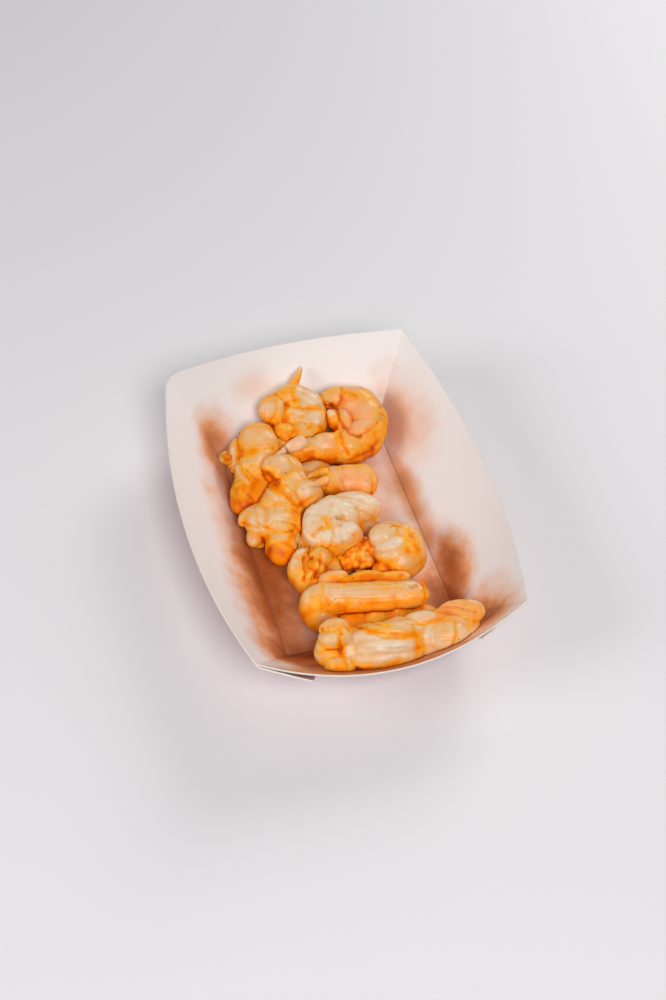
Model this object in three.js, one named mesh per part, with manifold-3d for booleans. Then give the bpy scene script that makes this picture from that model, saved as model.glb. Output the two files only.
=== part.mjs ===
// A paper food tray of boiled, peeled shrimp. Millimetres, +Z up, +Y towards the tray's back end.
// The origin is on the table, under the middle of the tray's floor.
import * as THREE from "three";
import { mergeVertices } from "three/addons/utils/BufferGeometryUtils.js";
import Module from "manifold-3d";

const wasm = await Module();
wasm.setup();

// Tray: one sheet of board, folded up along four creases.
const board = 0.5; // thickness
const floorWidth = 56;
const floorLength = 84;
const rimWidth = 84; // from rim corner to rim corner
const rimLength = 120;
const rimHeight = 27.5; // at the corners
const sideBow = 8; // how far the rim of a long wall bellies out in its middle
const sideDip = 4.5; // and how far it sinks there
const endBow = 9.5;
const endDip = 5.5;
const sideBelly = 0.8; // how far the middle of a long wall bulges out of its straight slope
const endBelly = 2.4;
const creaseInset = 0.25; // the inside crease lies this far in from the outside one
const creaseRound = 0.8;
const cornerRound = 1.2; // of the rim
const softCornerRound = 5; // the back left corner of the rim is pushed out of shape
const wallRings = 3;
const sideSteps = 11;
const endSteps = 10;
const cornerSteps = 2;

// Gusset tabs: what is left of the sheet at a corner, folded on to the outside of an end wall.
const tabStart = 0.965; // how near to the corner a tab starts, as a share of the wall's half
const tabReach = 0.36; // share of the wall's half that a tab covers
const tabFoot = 0.16; // height of its lower edge at the corner, as a share of the wall
const tabRise = 0.3; // how much higher that edge is at the tip
const tabTop = 0.94;
const tabBite = 0.4; // depth of the glued part in the wall, which makes them one piece
const tabLift = 0.5; // gap under a glued tab's tip
const sprungTabLift = 2.4; // the front left tab has come unstuck at its tip
const tabSteps = 4;

// Shrimp tails.
const gap = 0.3; // between touching pieces
const spaceHeights = [0.2, 0.5, 1, 1.4]; // the walls are followed up to here, as shares of their height
const bandReach = 1.05; // half length of a segment's band, as a share of the segments' spacing
const spineSteps = 40;
const strandLead = 0.4; // how far ahead of its root a strand's middle lies, as a share of its length
const fineLobe = { around: 12, along: 6 }; // facets of a band
const plainLobe = { around: 8, along: 5 }; // and of smaller lumps
const grain = { around: 5, along: 3 };

const radians = Math.PI / 180;
const up = new THREE.Vector3(0, 0, 1);
const mix = THREE.MathUtils.lerp;
const random = THREE.MathUtils.seededRandom;
const goldenAngle = Math.PI * (3 - Math.sqrt(5));

// A closed mesh as a solid that can be joined and cut
function solidOf(geometry) {
  const bare = geometry.clone();
  bare.deleteAttribute("normal");
  bare.deleteAttribute("uv");
  const merged = mergeVertices(bare, 1e-5);
  return new wasm.Manifold(
    new wasm.Mesh({
      numProp: 3,
      vertProperties: Float32Array.from(merged.getAttribute("position").array),
      triVerts: Uint32Array.from(merged.index.array),
    }),
  );
}

function geometryOf(solid) {
  const { vertProperties, triVerts } = solid.getMesh();
  const geometry = new THREE.BufferGeometry();
  geometry.setAttribute("position", new THREE.BufferAttribute(vertProperties, 3));
  geometry.setIndex(new THREE.BufferAttribute(triVerts, 1));
  geometry.computeVertexNormals();
  return geometry;
}

function largestPiece(solid) {
  const pieces = solid.decompose();
  return pieces.reduce((best, piece) => (piece.volume() > best.volume() ? piece : best));
}

// A solid between two closed rows of rings, each ring an array of points
function ringSolid(rings, firstCentre, lastCentre) {
  const count = rings[0].length;
  const points = [...rings.flat(), firstCentre, lastCentre];
  const index = [];
  for (let ring = 0; ring < rings.length - 1; ring++) {
    for (let i = 0; i < count; i++) {
      const a = ring * count + i;
      const b = ring * count + ((i + 1) % count);
      index.push(a, b, b + count, a, b + count, a + count);
    }
  }
  const last = (rings.length - 1) * count;
  for (let i = 0; i < count; i++) {
    const next = (i + 1) % count;
    index.push(points.length - 2, next, i);
    index.push(points.length - 1, last + i, last + next);
  }
  const geometry = new THREE.BufferGeometry().setFromPoints(points);
  geometry.setIndex(index);
  return solidOf(geometry);
}

// Tray walls. A wall runs counter-clockwise from corner to corner, across from -1 to 1,
// and is ruled from the straight crease (height 0) to the bowed rim (height 1).
const walls = [
  { outward: new THREE.Vector3(0, -1, 0), along: new THREE.Vector3(1, 0, 0), end: true },
  { outward: new THREE.Vector3(1, 0, 0), along: new THREE.Vector3(0, 1, 0), end: false },
  { outward: new THREE.Vector3(0, 1, 0), along: new THREE.Vector3(-1, 0, 0), end: true },
  { outward: new THREE.Vector3(-1, 0, 0), along: new THREE.Vector3(0, -1, 0), end: false },
];

function creasePoint(wall, across) {
  const out = wall.end ? floorLength / 2 : floorWidth / 2;
  const half = wall.end ? floorWidth / 2 : floorLength / 2;
  return wall.outward.clone().multiplyScalar(out).addScaledVector(wall.along, half * across);
}

function rimPoint(wall, across) {
  const belly = 1 - across * across;
  const out = wall.end ? rimLength / 2 + endBow * belly : rimWidth / 2 + sideBow * belly;
  const half = wall.end ? rimWidth / 2 : rimLength / 2;
  const point = wall.outward.clone().multiplyScalar(out).addScaledVector(wall.along, half * across);
  point.z = rimHeight - (wall.end ? endDip : sideDip) * belly;
  return point;
}

function wallPoint(wall, across, height) {
  const crease = creasePoint(wall, across);
  const rim = rimPoint(wall, across);
  const out = new THREE.Vector3().crossVectors(wall.along, rim.clone().sub(crease)).normalize();
  const belly = (wall.end ? endBelly : sideBelly) * (1 - across * across) * 4 * height * (1 - height);
  return crease.lerp(rim, height).addScaledVector(out, belly);
}

function wallNormal(wall, across, height) {
  const step = 0.01;
  const along = wallPoint(wall, across + step, height).sub(wallPoint(wall, across - step, height));
  const rise = wallPoint(wall, across, height + step).sub(wallPoint(wall, across, height - step));
  return along.cross(rise).normalize();
}

// A loop round the tray at one height: points of the outside face, and the way out from them
function wallLoop(height) {
  const loop = [];
  walls.forEach((wall, number) => {
    const next = walls[(number + 1) % walls.length];
    const steps = wall.end ? endSteps : sideSteps;
    const round = mix(creaseRound, cornerRound, height);
    const leaveRound = number === 2 ? mix(creaseRound, softCornerRound, height) : round;
    const arriveRound = number === 3 ? mix(creaseRound, softCornerRound, height) : round;
    const half = (wall.end ? rimWidth : rimLength) / 2;
    const nextHalf = (next.end ? rimWidth : rimLength) / 2;
    const first = -1 + arriveRound / half;
    const last = 1 - leaveRound / half;
    for (let i = 0; i <= steps; i++) {
      const across = mix(first, last, i / steps);
      loop.push({ point: wallPoint(wall, across, height), out: wallNormal(wall, across, height) });
    }
    const nextFirst = -1 + leaveRound / nextHalf;
    const turn = new THREE.QuadraticBezierCurve3(
      wallPoint(wall, last, height),
      wallPoint(wall, 1, height),
      wallPoint(next, nextFirst, height),
    );
    for (let i = 1; i <= cornerSteps; i++) {
      const share = i / (cornerSteps + 1);
      const out = wallNormal(wall, last, height).lerp(wallNormal(next, nextFirst, height), share);
      loop.push({ point: turn.getPoint(share), out: out.normalize() });
    }
  });
  return loop;
}

// The inside face of the tray, pushed in by `depth` from the outside one
function insideRing(height, depth) {
  return wallLoop(height).map(({ point, out }) => point.clone().addScaledVector(out, -depth));
}

function insideFloorRing(inset, z) {
  const shrink = new THREE.Vector3(1 - inset / (floorWidth / 2), 1 - inset / (floorLength / 2), 0);
  return wallLoop(0).map(({ point }) => point.clone().multiply(shrink).setZ(z));
}

function makeTray() {
  const heights = Array.from({ length: wallRings + 1 }, (_, i) => i / wallRings);
  const outside = heights.map((height) => wallLoop(height).map(({ point }) => point));
  const inside = heights.slice(1).map((height) => insideRing(height, board));
  inside.unshift(insideFloorRing(creaseInset, board));
  inside.reverse();
  const rings = [...outside, ...inside];
  return ringSolid(rings, new THREE.Vector3(0, 0, 0), new THREE.Vector3(0, 0, board));
}

// A gusset tab, from the corner at `side` (-1 or 1) of an end wall
function makeTab(wall, side, lift) {
  const rings = [];
  for (let i = 0; i <= tabSteps; i++) {
    const share = i / tabSteps;
    const across = side * (tabStart - tabReach * share);
    const foot = tabFoot + tabRise * share * share;
    const near = mix(-tabBite, lift, share);
    const corner = (height, away) =>
      wallPoint(wall, across, height).addScaledVector(wallNormal(wall, across, height), away);
    const middle = (foot + tabTop) / 2;
    const ring = [
      corner(foot, near),
      corner(middle, near),
      corner(tabTop, near),
      corner(tabTop, near + board + tabBite),
      corner(middle, near + board + tabBite),
      corner(foot, near + board + tabBite),
    ];
    rings.push(side > 0 ? ring.reverse() : ring);
  }
  const middleOf = (ring) => ring[1].clone().lerp(ring[4], 0.5);
  return ringSolid(rings, middleOf(rings[0]), middleOf(rings[tabSteps]));
}

// The free space that the tails may fill, open upwards
function traySpace() {
  const floor = board + gap;
  const rings = [insideFloorRing(creaseInset + gap, floor)];
  for (const height of spaceHeights) {
    rings.push(insideRing(height, floor));
  }
  const top = rimHeight * spaceHeights.at(-1);
  return ringSolid(rings, new THREE.Vector3(0, 0, floor), new THREE.Vector3(0, 0, top));
}

// The spine of a tail: frames at even steps, with the way ahead, to its left and out of its back.
// curl bends it towards the belly and swerve to its left, both within the stretch `bend`.
function spineOf(tail) {
  const heading = tail.heading * radians;
  const pitch = (tail.pitch ?? 0) * radians;
  const roll = (tail.roll ?? 0) * radians;
  const ahead = new THREE.Vector3(
    Math.cos(heading) * Math.cos(pitch),
    Math.sin(heading) * Math.cos(pitch),
    Math.sin(pitch),
  );
  const level = new THREE.Vector3().crossVectors(up, ahead).normalize();
  const back = new THREE.Vector3().crossVectors(ahead, level).multiplyScalar(Math.cos(roll));
  back.addScaledVector(level, Math.sin(roll));
  const left = new THREE.Vector3().crossVectors(back, ahead);
  const point = new THREE.Vector3(...tail.start);
  const [bendFrom, bendTo] = tail.bend ?? [0, 1];
  const frames = [];
  for (let i = 0; i <= spineSteps; i++) {
    frames.push({ point: point.clone(), ahead: ahead.clone(), left: left.clone(), back: back.clone() });
    const from = Math.max(bendFrom, i / spineSteps);
    const to = Math.min(bendTo, (i + 1) / spineSteps);
    const bent = (Math.max(0, to - from) / (bendTo - bendFrom)) * radians;
    const curl = new THREE.Quaternion().setFromAxisAngle(left, (tail.curl ?? 0) * bent);
    const swerve = new THREE.Quaternion().setFromAxisAngle(back, (tail.swerve ?? 0) * bent);
    for (const way of [ahead, left, back]) {
      way.applyQuaternion(curl).applyQuaternion(swerve);
    }
    point.addScaledVector(ahead, tail.length / spineSteps);
  }
  return (share) => frames[Math.round(THREE.MathUtils.clamp(share, 0, 1) * spineSteps)];
}

// How thick the tail is along its length, from its cut end to its tip
function thickness(tail, share) {
  const [neck, peakAt, tip] = tail.profile;
  if (share < peakAt) {
    return mix(neck, 1, Math.sin(((share / peakAt) * Math.PI) / 2));
  }
  return mix(1, tip, 1 - Math.cos((((share - peakAt) / (1 - peakAt)) * Math.PI) / 2));
}

// An ellipsoid in a frame: its centre is `offset` ahead, left and back of the frame's point
function lobe(frame, offset, size, grow, facets) {
  const basis = new THREE.Matrix4().makeBasis(frame.ahead, frame.left, frame.back);
  const centre = frame.point
    .clone()
    .addScaledVector(frame.ahead, offset[0])
    .addScaledVector(frame.left, offset[1])
    .addScaledVector(frame.back, offset[2]);
  const scale = new THREE.Matrix4().makeScale(size[0] + grow, size[1] + grow, size[2] + grow);
  const place = new THREE.Matrix4().makeTranslation(centre).multiply(basis).multiply(scale);
  const ball = new THREE.SphereGeometry(1, facets.around, facets.along).rotateZ(Math.PI / 2);
  return solidOf(ball.applyMatrix4(place));
}

// A strand of flesh or tail fan: a thin lobe that leaves the spine at an angle
function strand(frame, { aside = 0, rise = 0, length, width, high = 1.6 }, grow) {
  const turned = new THREE.Quaternion().setFromAxisAngle(frame.back, aside * radians);
  turned.premultiply(new THREE.Quaternion().setFromAxisAngle(frame.left, -rise * radians));
  const tilted = {
    point: frame.point,
    ahead: frame.ahead.clone().applyQuaternion(turned),
    left: frame.left.clone().applyQuaternion(turned),
    back: frame.back.clone().applyQuaternion(turned),
  };
  return lobe(tilted, [length * strandLead, 0, 0], [length / 2, width / 2, high / 2], grow, plainLobe);
}

// A clump of roe: round bumps strewn over an ellipsoid in the tray
function roe({ place, spread, count, radius }, grow) {
  const axes = { ahead: new THREE.Vector3(1, 0, 0), left: new THREE.Vector3(0, 1, 0), back: up };
  const middle = { point: new THREE.Vector3(...place), ...axes };
  const bumps = [lobe(middle, [0, 0, 0], spread, grow, plainLobe)];
  for (let i = 0; i < count; i++) {
    const rise = 1 - (1.4 * (i + 0.5)) / count;
    const round = Math.sqrt(1 - rise * rise);
    const turn = i * goldenAngle;
    const way = [round * Math.cos(turn), round * Math.sin(turn), rise];
    const offset = way.map((share, axis) => share * spread[axis]);
    const size = mix(radius[0], radius[1], random());
    bumps.push(lobe(middle, offset, [size, size, size], grow, grain));
  }
  return bumps;
}

function makeTail(tail, grow) {
  const spine = spineOf(tail);
  const step = tail.length / tail.segments;
  const lobes = [];
  for (let i = 0; i < tail.segments; i++) {
    const share = (i + 0.5) / tail.segments;
    const wide = tail.width * thickness(tail, share);
    const high = tail.height * thickness(tail, share);
    lobes.push(lobe(spine(share), [0, 0, 0], [step * bandReach, wide / 2, high / 2], grow, fineLobe));
  }
  for (const { at, offset, size, fine } of tail.lumps ?? []) {
    lobes.push(lobe(spine(at), offset, size, grow, fine ? fineLobe : plainLobe));
  }
  for (const bit of tail.strands ?? []) {
    lobes.push(strand(spine(bit.at ?? 1), bit, grow));
  }
  if (tail.roe) {
    lobes.push(...roe(tail.roe, grow));
  }
  return wasm.Manifold.union(lobes);
}

// The tails, from the one that keeps its whole form to the ones that its neighbours press into.
// heading is on the table from +X, pitch is upwards, and roll turns the back to the left.
// A lump lies `at` a share of the spine, offset ahead, left and back of it.
const tails = [
  {
    name: "shrimp_middle_left",
    start: [-7.8, 16.9, 9.5], heading: -154, pitch: -7, swerve: 50, bend: [0.05, 0.5], length: 29,
    segments: 4, width: 15, height: 15, profile: [0.8, 0.45, 0.5],
    lumps: [
      { at: 0, offset: [-0.3, -6.2, 0], size: [5.8, 6.2, 6.5], fine: true },
      { at: 0, offset: [1.5, 5.4, 0], size: [5.4, 5.4, 6.5], fine: true },
      { at: 0.5, offset: [-2.5, -8.2, -2.5], size: [3.4, 4.2, 2.4] },
      { at: 0.62, offset: [2, -7.6, -3], size: [4.2, 3.8, 2.2] },
    ],
  },
  {
    name: "shrimp_middle",
    start: [3, -6.8, 9], heading: -120, pitch: -7, roll: 90, curl: 325, length: 31, segments: 6,
    width: 14, height: 11, profile: [0.9, 0.4, 1],
    lumps: [
      { at: 0.5, offset: [0, 0, -5.2], size: [4.5, 5, 4.5] },
      { at: 0.9, offset: [3.5, 3.5, 5], size: [6.5, 5, 5.5] },
    ],
  },
  {
    name: "shrimp_right",
    start: [11.4, -14, 9], heading: 30, roll: 90, curl: 230, length: 21, segments: 4,
    width: 16, height: 12, profile: [0.9, 0.4, 0.8],
    roe: { place: [4.2, -15, 6.2], spread: [8, 4.8, 3.4], count: 15, radius: [1.7, 2.6] },
  },
  {
    name: "shrimp_roll",
    start: [15, -39.2, 13], heading: 167, curl: 180, bend: [0.46, 0.67], length: 62, segments: 8,
    width: 11, height: 10, profile: [0.8, 0.5, 0.85],
    lumps: [
      { at: 0.4, offset: [0, -7, -5], size: [4.5, 4, 4] },
      { at: 0.15, offset: [0, -6, -5], size: [8, 4, 4] },
      { at: 0.56, offset: [0, 1.5, -2], size: [6.5, 6.5, 6] },
      { at: 0.78, offset: [0, 3, 0], size: [6, 5, 5] },
    ],
  },
  {
    name: "shrimp_front",
    start: [-18, -53.5, 15.5], heading: -7, roll: 142, length: 43, segments: 5,
    width: 15, height: 13, profile: [0.8, 0.4, 0.75],
    lumps: [
      { at: 0.05, offset: [0, -3.8, -2.5], size: [5, 4.4, 4.6], fine: true },
      { at: 0.05, offset: [0.5, 4.2, -2.5], size: [5.2, 4.6, 4.6], fine: true },
      { at: 0.42, offset: [0, -3.2, -2.8], size: [12.5, 4, 4.6] },
      { at: 0.42, offset: [-1, 3.2, -2.8], size: [12.5, 4.2, 4.6] },
      { at: 0.83, offset: [0, 0, -2.5], size: [8, 5.6, 4.6] },
      { at: 0.08, offset: [-1, -7, -1], size: [4.8, 2.8, 3] },
      { at: 0.7, offset: [0, -6.5, 0], size: [5.2, 3.2, 3.5] },
      { at: 0.98, offset: [-1, -7, -1], size: [7.5, 4.2, 3.5] },
    ],
  },
  {
    name: "shrimp_back_right",
    start: [11.5, 47.3, 12.5], heading: 3, roll: 75, curl: 192, bend: [0.05, 0.66], length: 51, segments: 7,
    width: 15, height: 13.5, profile: [0.55, 0.35, 0.6],
    lumps: [{ at: 0.36, offset: [0, 0, -9.5], size: [6, 5, 4] }],
    strands: [
      { aside: 6, rise: -12, length: 14, width: 5, high: 3 },
      { aside: -6, rise: -30, length: 12, width: 5, high: 3 },
    ],
  },
  {
    name: "shrimp_left",
    start: [-15.5, 40.5, 10], heading: -98, pitch: -7, swerve: -34, length: 27, segments: 3,
    width: 15, height: 14, profile: [0.9, 0.3, 0.6],
    lumps: [
      { at: 0.3, offset: [0, -8, -0.5], size: [7, 2.4, 2.8] },
      { at: 0.3, offset: [0, -10.5, -2], size: [3, 3.2, 1.6] },
    ],
  },
  {
    name: "shrimp_back_left",
    start: [-4, 51, 14], heading: 12, roll: 72, curl: 200, length: 26, segments: 4,
    width: 13, height: 11.5, profile: [0.85, 0.4, 0.8],
    lumps: [
      { at: 0, offset: [-4, 0, -3], size: [5.5, 5, 6] },
      { at: 1, offset: [3, 0, -1], size: [5, 5, 4.5] },
      { at: 0.5, offset: [0, 0, -6], size: [5, 5, 4] },
    ],
    strands: [{ at: 0.05, rise: 50, length: 16, width: 2.4, high: 2 }],
  },
  {
    name: "shrimp_middle_right",
    start: [16.3, 13.6, 7], heading: 164, length: 15, segments: 3,
    width: 12.5, height: 11.5, profile: [0.95, 0.4, 0.7],
    strands: [
      { aside: 14, length: 12, width: 2.6, high: 2.2 },
      { aside: -3, length: 13, width: 2.6, high: 2.2 },
      { aside: -22, length: 9, width: 3, high: 3 },
    ],
  },
  {
    name: "shrimp_small",
    start: [-13, -10.8, 6.5], heading: 200, roll: -90, curl: 170, length: 19, segments: 4,
    width: 11, height: 7, profile: [0.9, 0.4, 0.7],
    lumps: [
      { at: 0.5, offset: [0, 0, -5], size: [4, 4.5, 3.5] },
      { at: 0, offset: [-2, 0, -3], size: [3.5, 4.5, 3] },
    ],
  },
  {
    name: "shrimp_hidden",
    start: [-8, -39.5, 6.5], heading: -8, length: 26, segments: 4,
    width: 11, height: 11, profile: [0.8, 0.4, 0.6],
  },
];

const paper = new THREE.MeshStandardMaterial({ color: 0xf3eeec, roughness: 0.6, metalness: 0 });

const part = new THREE.Group();

function addPiece(name, solid, material) {
  const mesh = new THREE.Mesh(geometryOf(solid), material);
  mesh.name = name;
  part.add(mesh);
}

const [front, , back] = walls;
const tabs = [
  makeTab(front, -1, sprungTabLift),
  makeTab(front, 1, tabLift),
  makeTab(back, -1, tabLift),
  makeTab(back, 1, tabLift),
];
addPiece("tray", wasm.Manifold.union([makeTray(), ...tabs]), paper);

const space = traySpace();
const placed = [];
for (const tail of tails) {
  let solid = makeTail(tail, 0).intersect(space);
  for (const neighbour of placed) {
    solid = solid.subtract(neighbour);
  }
  placed.push(makeTail(tail, gap));
  const flesh = new THREE.MeshStandardMaterial({ color: 0xebc596, roughness: 0.3, metalness: 0 });
  addPiece(tail.name, largestPiece(solid), flesh);
}

export default part;
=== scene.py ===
# Boiled, peeled shrimp in a folded paper food tray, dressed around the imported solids.
import math
import random

import bpy
import numpy as np
from mathutils import Matrix, Quaternion, Vector, noise
from mathutils.bvhtree import BVHTree


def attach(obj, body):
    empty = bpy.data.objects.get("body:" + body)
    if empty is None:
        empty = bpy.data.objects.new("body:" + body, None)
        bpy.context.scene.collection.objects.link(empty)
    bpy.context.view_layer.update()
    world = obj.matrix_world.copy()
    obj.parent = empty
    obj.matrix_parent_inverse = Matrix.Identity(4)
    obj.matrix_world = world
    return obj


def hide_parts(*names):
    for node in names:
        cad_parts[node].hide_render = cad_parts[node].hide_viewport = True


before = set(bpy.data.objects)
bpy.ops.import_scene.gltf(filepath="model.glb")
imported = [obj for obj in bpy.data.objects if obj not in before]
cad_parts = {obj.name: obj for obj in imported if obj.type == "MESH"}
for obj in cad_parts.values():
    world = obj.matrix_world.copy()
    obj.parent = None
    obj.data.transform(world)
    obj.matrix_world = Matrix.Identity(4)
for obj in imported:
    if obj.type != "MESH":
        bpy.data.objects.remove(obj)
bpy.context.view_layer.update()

mm = 0.001
random.seed(7)
latticeSide = 32
lattice = np.random.RandomState(7).rand(latticeSide, latticeSide, latticeSide) * 2 - 1


# Small helpers for objects, meshes and points
def pick(*pieces):
    for item in list(bpy.context.selected_objects):
        item.select_set(False)
    for item in pieces:
        item.select_set(True)
    bpy.context.view_layer.objects.active = pieces[0]


def settle(piece):
    pick(piece)
    bpy.ops.object.transform_apply(location=True, rotation=True, scale=True)


def modify(piece, kind, **settings):
    modifier = piece.modifiers.new(kind.lower(), kind)
    for setting, value in settings.items():
        setattr(modifier, setting, value)
    pick(piece)
    bpy.ops.object.modifier_apply(modifier=modifier.name)


def copyOf(piece):
    pick(piece)
    bpy.ops.object.duplicate()
    return bpy.context.object


def shadeSmooth(piece):
    pick(piece)
    bpy.ops.object.shade_smooth()


def openMesh(piece):
    pick(piece)
    bpy.ops.object.mode_set(mode="EDIT")
    bpy.ops.mesh.select_all(action="SELECT")


def closeMesh():
    bpy.ops.object.mode_set(mode="OBJECT")


def joinAll(pieces, name):
    pick(*pieces)
    if len(pieces) > 1:
        bpy.ops.object.join()
    joined = bpy.context.object
    joined.name = name
    joined.data.name = name
    settle(joined)
    return joined


def readPoints(piece):
    points = np.empty(len(piece.data.vertices) * 3)
    piece.data.vertices.foreach_get("co", points)
    return points.reshape(-1, 3) / mm


def writePoints(piece, points):
    piece.data.vertices.foreach_set("co", (points * mm).ravel())
    piece.data.update()


def readNormals(piece):
    normals = np.empty(len(piece.data.vertices) * 3)
    piece.data.vertex_normals.foreach_get("vector", normals)
    return normals.reshape(-1, 3)


def writeMask(piece, name, values):
    mask = piece.data.attributes.new(name, "FLOAT", "POINT")
    mask.data.foreach_set("value", np.clip(values, 0, 1).astype(np.float32))


def writeVectors(piece, name, values):
    vectors = piece.data.attributes.new(name, "FLOAT_VECTOR", "POINT")
    vectors.data.foreach_set("vector", values.astype(np.float32).ravel())


def softNoise(points, size):
    # smooth noise from -1 to 1, with features of a size in millimetres
    spots = points / size
    base = np.floor(spots).astype(int)
    share = spots - base
    share = share * share * (3 - 2 * share)
    total = np.zeros(len(points))
    for corner in np.ndindex(2, 2, 2):
        weight = np.prod(np.where(np.array(corner) == 1, share, 1 - share), axis=1)
        cell = (base + corner) % latticeSide
        total += lattice[cell[:, 0], cell[:, 1], cell[:, 2]] * weight
    return total


def between(start, stop, share):
    return [a + (b - a) * share for a, b in zip(start, stop)]


def paint(red, green, blue):
    # a colour as a paint chart gives it, 0 to 255
    shares = [channel / 255 for channel in (red, green, blue)]
    linear = [s / 12.92 if s <= 0.04045 else ((s + 0.055) / 1.055) ** 2.4 for s in shares]
    return (*linear, 1)


# Camera, in the place from which the tray was seen
view = {
    "azimuth": -17.66, "elevation": 50.73, "roll": 1.47,
    "distance": 507, "target": (3.74, 14.62, 0),
    "lens": 54, "sensor": 36,
    "width": 666, "height": 1000,
}


def viewBack():
    azimuth, elevation = math.radians(view["azimuth"]), math.radians(view["elevation"])
    level = math.cos(elevation)
    return Vector((math.sin(azimuth) * level, -math.cos(azimuth) * level, math.sin(elevation)))


viewEye = (Vector(view["target"]) + viewBack() * view["distance"]) * mm
viewTurn = (-viewBack()).to_track_quat("-Z", "Y") @ Quaternion((0, 0, 1), math.radians(view["roll"]))


def makeCamera():
    lens = bpy.data.cameras.new("tableCamera")
    lens.lens = view["lens"]
    lens.sensor_width = view["sensor"]
    lens.clip_start = 0.01
    camera = bpy.data.objects.new("tableCamera", lens)
    bpy.context.scene.collection.objects.link(camera)
    camera.location = viewEye
    camera.rotation_mode = "QUATERNION"
    camera.rotation_quaternion = viewTurn
    bpy.context.scene.camera = camera


def sightLine(pixel):
    # the way from the camera through a pixel of the 666 x 1000 picture
    focal = view["lens"] / view["sensor"] * view["height"]
    across = (pixel[0] - view["width"] / 2) / focal
    upward = (view["height"] / 2 - pixel[1]) / focal
    return viewTurn @ Vector((across, upward, -1)).normalized()


makeCamera()
print("camera is up")


# Shader maths
class Wire:
    def __init__(self, finish, socket):
        self.finish = finish
        self.socket = socket

    def __add__(self, other):
        return self.finish.maths("ADD", self, other)

    def __sub__(self, other):
        return self.finish.maths("SUBTRACT", self, other)

    def __rsub__(self, other):
        return self.finish.maths("SUBTRACT", other, self)

    def __mul__(self, other):
        return self.finish.maths("MULTIPLY", self, other)

    def __truediv__(self, other):
        return self.finish.maths("DIVIDE", self, other)


class Finish:
    def __init__(self, name, **settings):
        self.material = bpy.data.materials.new(name)
        self.material.use_nodes = True
        self.tree = self.material.node_tree
        self.tree.nodes.clear()
        self.shader = self.tree.nodes.new("ShaderNodeBsdfPrincipled")
        output = self.tree.nodes.new("ShaderNodeOutputMaterial")
        self.tree.links.new(self.shader.outputs[0], output.inputs["Surface"])
        self.set(settings)

    def feed(self, node, key, value):
        if isinstance(value, Wire):
            self.tree.links.new(value.socket, node.inputs[key])
        else:
            node.inputs[key].default_value = value

    def set(self, values):
        for key, value in values.items():
            self.feed(self.shader, key.replace("_", " "), value)

    def node(self, kind, settings=None, inputs=None, output=0):
        made = self.tree.nodes.new("ShaderNode" + kind)
        for setting, value in (settings or {}).items():
            if setting == "stops":
                made.color_ramp.elements[1].position = value[-1][0]
                made.color_ramp.elements[1].color = value[-1][1]
                made.color_ramp.elements[0].position = value[0][0]
                made.color_ramp.elements[0].color = value[0][1]
                for position, colour in value[1:-1]:
                    made.color_ramp.elements.new(position).color = colour
            else:
                setattr(made, setting, value)
        for key, value in (inputs or {}).items():
            self.feed(made, key, value)
        return Wire(self, made.outputs[output])

    def maths(self, operation, *values):
        return self.node("Math", {"operation": operation}, dict(enumerate(values)))

    def part(self, vector, way):
        return self.node("SeparateXYZ", None, {0: vector}, way)

    def place(self):
        return self.node("TexCoord", output="Object")

    def mask(self, name):
        return self.node("Attribute", {"attribute_name": name}, output="Fac")

    def vectors(self, name):
        return self.node("Attribute", {"attribute_name": name}, output="Vector")

    def grain(self, where, size, detail=2.0, rough=0.5):
        # noise with features of a size in millimetres
        inputs = {"Vector": where, "Scale": 1 / (size * mm), "Detail": detail, "Roughness": rough}
        return self.node("TexNoise", None, inputs)

    def step(self, value, low, high):
        # 0 below low, 1 above high, smooth between
        inputs = {"Value": value, "From Min": low, "From Max": high}
        return self.node("MapRange", {"interpolation_type": "SMOOTHSTEP"}, inputs)

    def blend(self, share, under, over):
        # 0, 6 and 7 are the sockets that a mix of colours uses, and 2 is its result
        return self.node("Mix", {"data_type": "RGBA"}, {0: share, 6: under, 7: over}, 2)

    def bump(self, height, depth):
        # height is 0 to 1, depth in millimetres
        self.set({"Normal": self.node("Bump", None, {"Height": height, "Distance": depth * mm})})


# The tray: one sheet of board, folded up along four creases, in millimetres
tray = {
    "board": 0.5,
    "floorWidth": 56, "floorLength": 84,
    "rimWidth": 84, "rimLength": 120, "rimHeight": 27.5,
    "sideBow": 8, "sideDip": 4.5, "endBow": 9.5, "endDip": 5.5,
    "sideBelly": 0.8, "endBelly": 2.4,
    "creaseRound": 0.8, "cornerRound": 1.2, "softCornerRound": 5,
    "sideSteps": 48, "endSteps": 40, "cornerSteps": 7, "rings": 26,
    "beadWide": 1.2, "beadHigh": 0.18,  # the pressed crease round the floor
    "beadRings": ((0.25, 0.8), (0.5, 1.0), (0.75, 0.8), (1, 0), (1.6, 0)),  # shares of its width and height
    "floorShrinks": (0.8, 0.75, 0.66, 0.5, 0.1),
    "ripple": 0.22, "rippleSize": 21,  # how far the walls wander from their even curve
    "smoothAngle": 40,
}
tabs = {
    "reach": 0.36,  # share of half an end wall that a flap covers
    "foot": 0.16, "rise": 0.3, "top": 0.94,
    "lift": 0.5, "sprungLift": 1.2,  # the front left one has come unstuck
    "across": 24, "up": 12,
    "wrap": 0.12,  # share of a flap that is still on the side wall and round the corner
    "sideStart": 0.965, "sideRun": 0.03, "endStart": 0.99,  # shares of half a wall
    "away": 0.05, "awayRun": 0.25, "awayEnd": 0.3, "opening": 1.6,
    "printWide": 14, "printFrom": 40, "printHigh": 24, "printLevel": 9,  # where its print is read
}
walls = [
    {"outward": Vector((0, -1, 0)), "along": Vector((1, 0, 0)), "end": True},
    {"outward": Vector((1, 0, 0)), "along": Vector((0, 1, 0)), "end": False},
    {"outward": Vector((0, 1, 0)), "along": Vector((-1, 0, 0)), "end": True},
    {"outward": Vector((-1, 0, 0)), "along": Vector((0, -1, 0)), "end": False},
]


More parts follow.
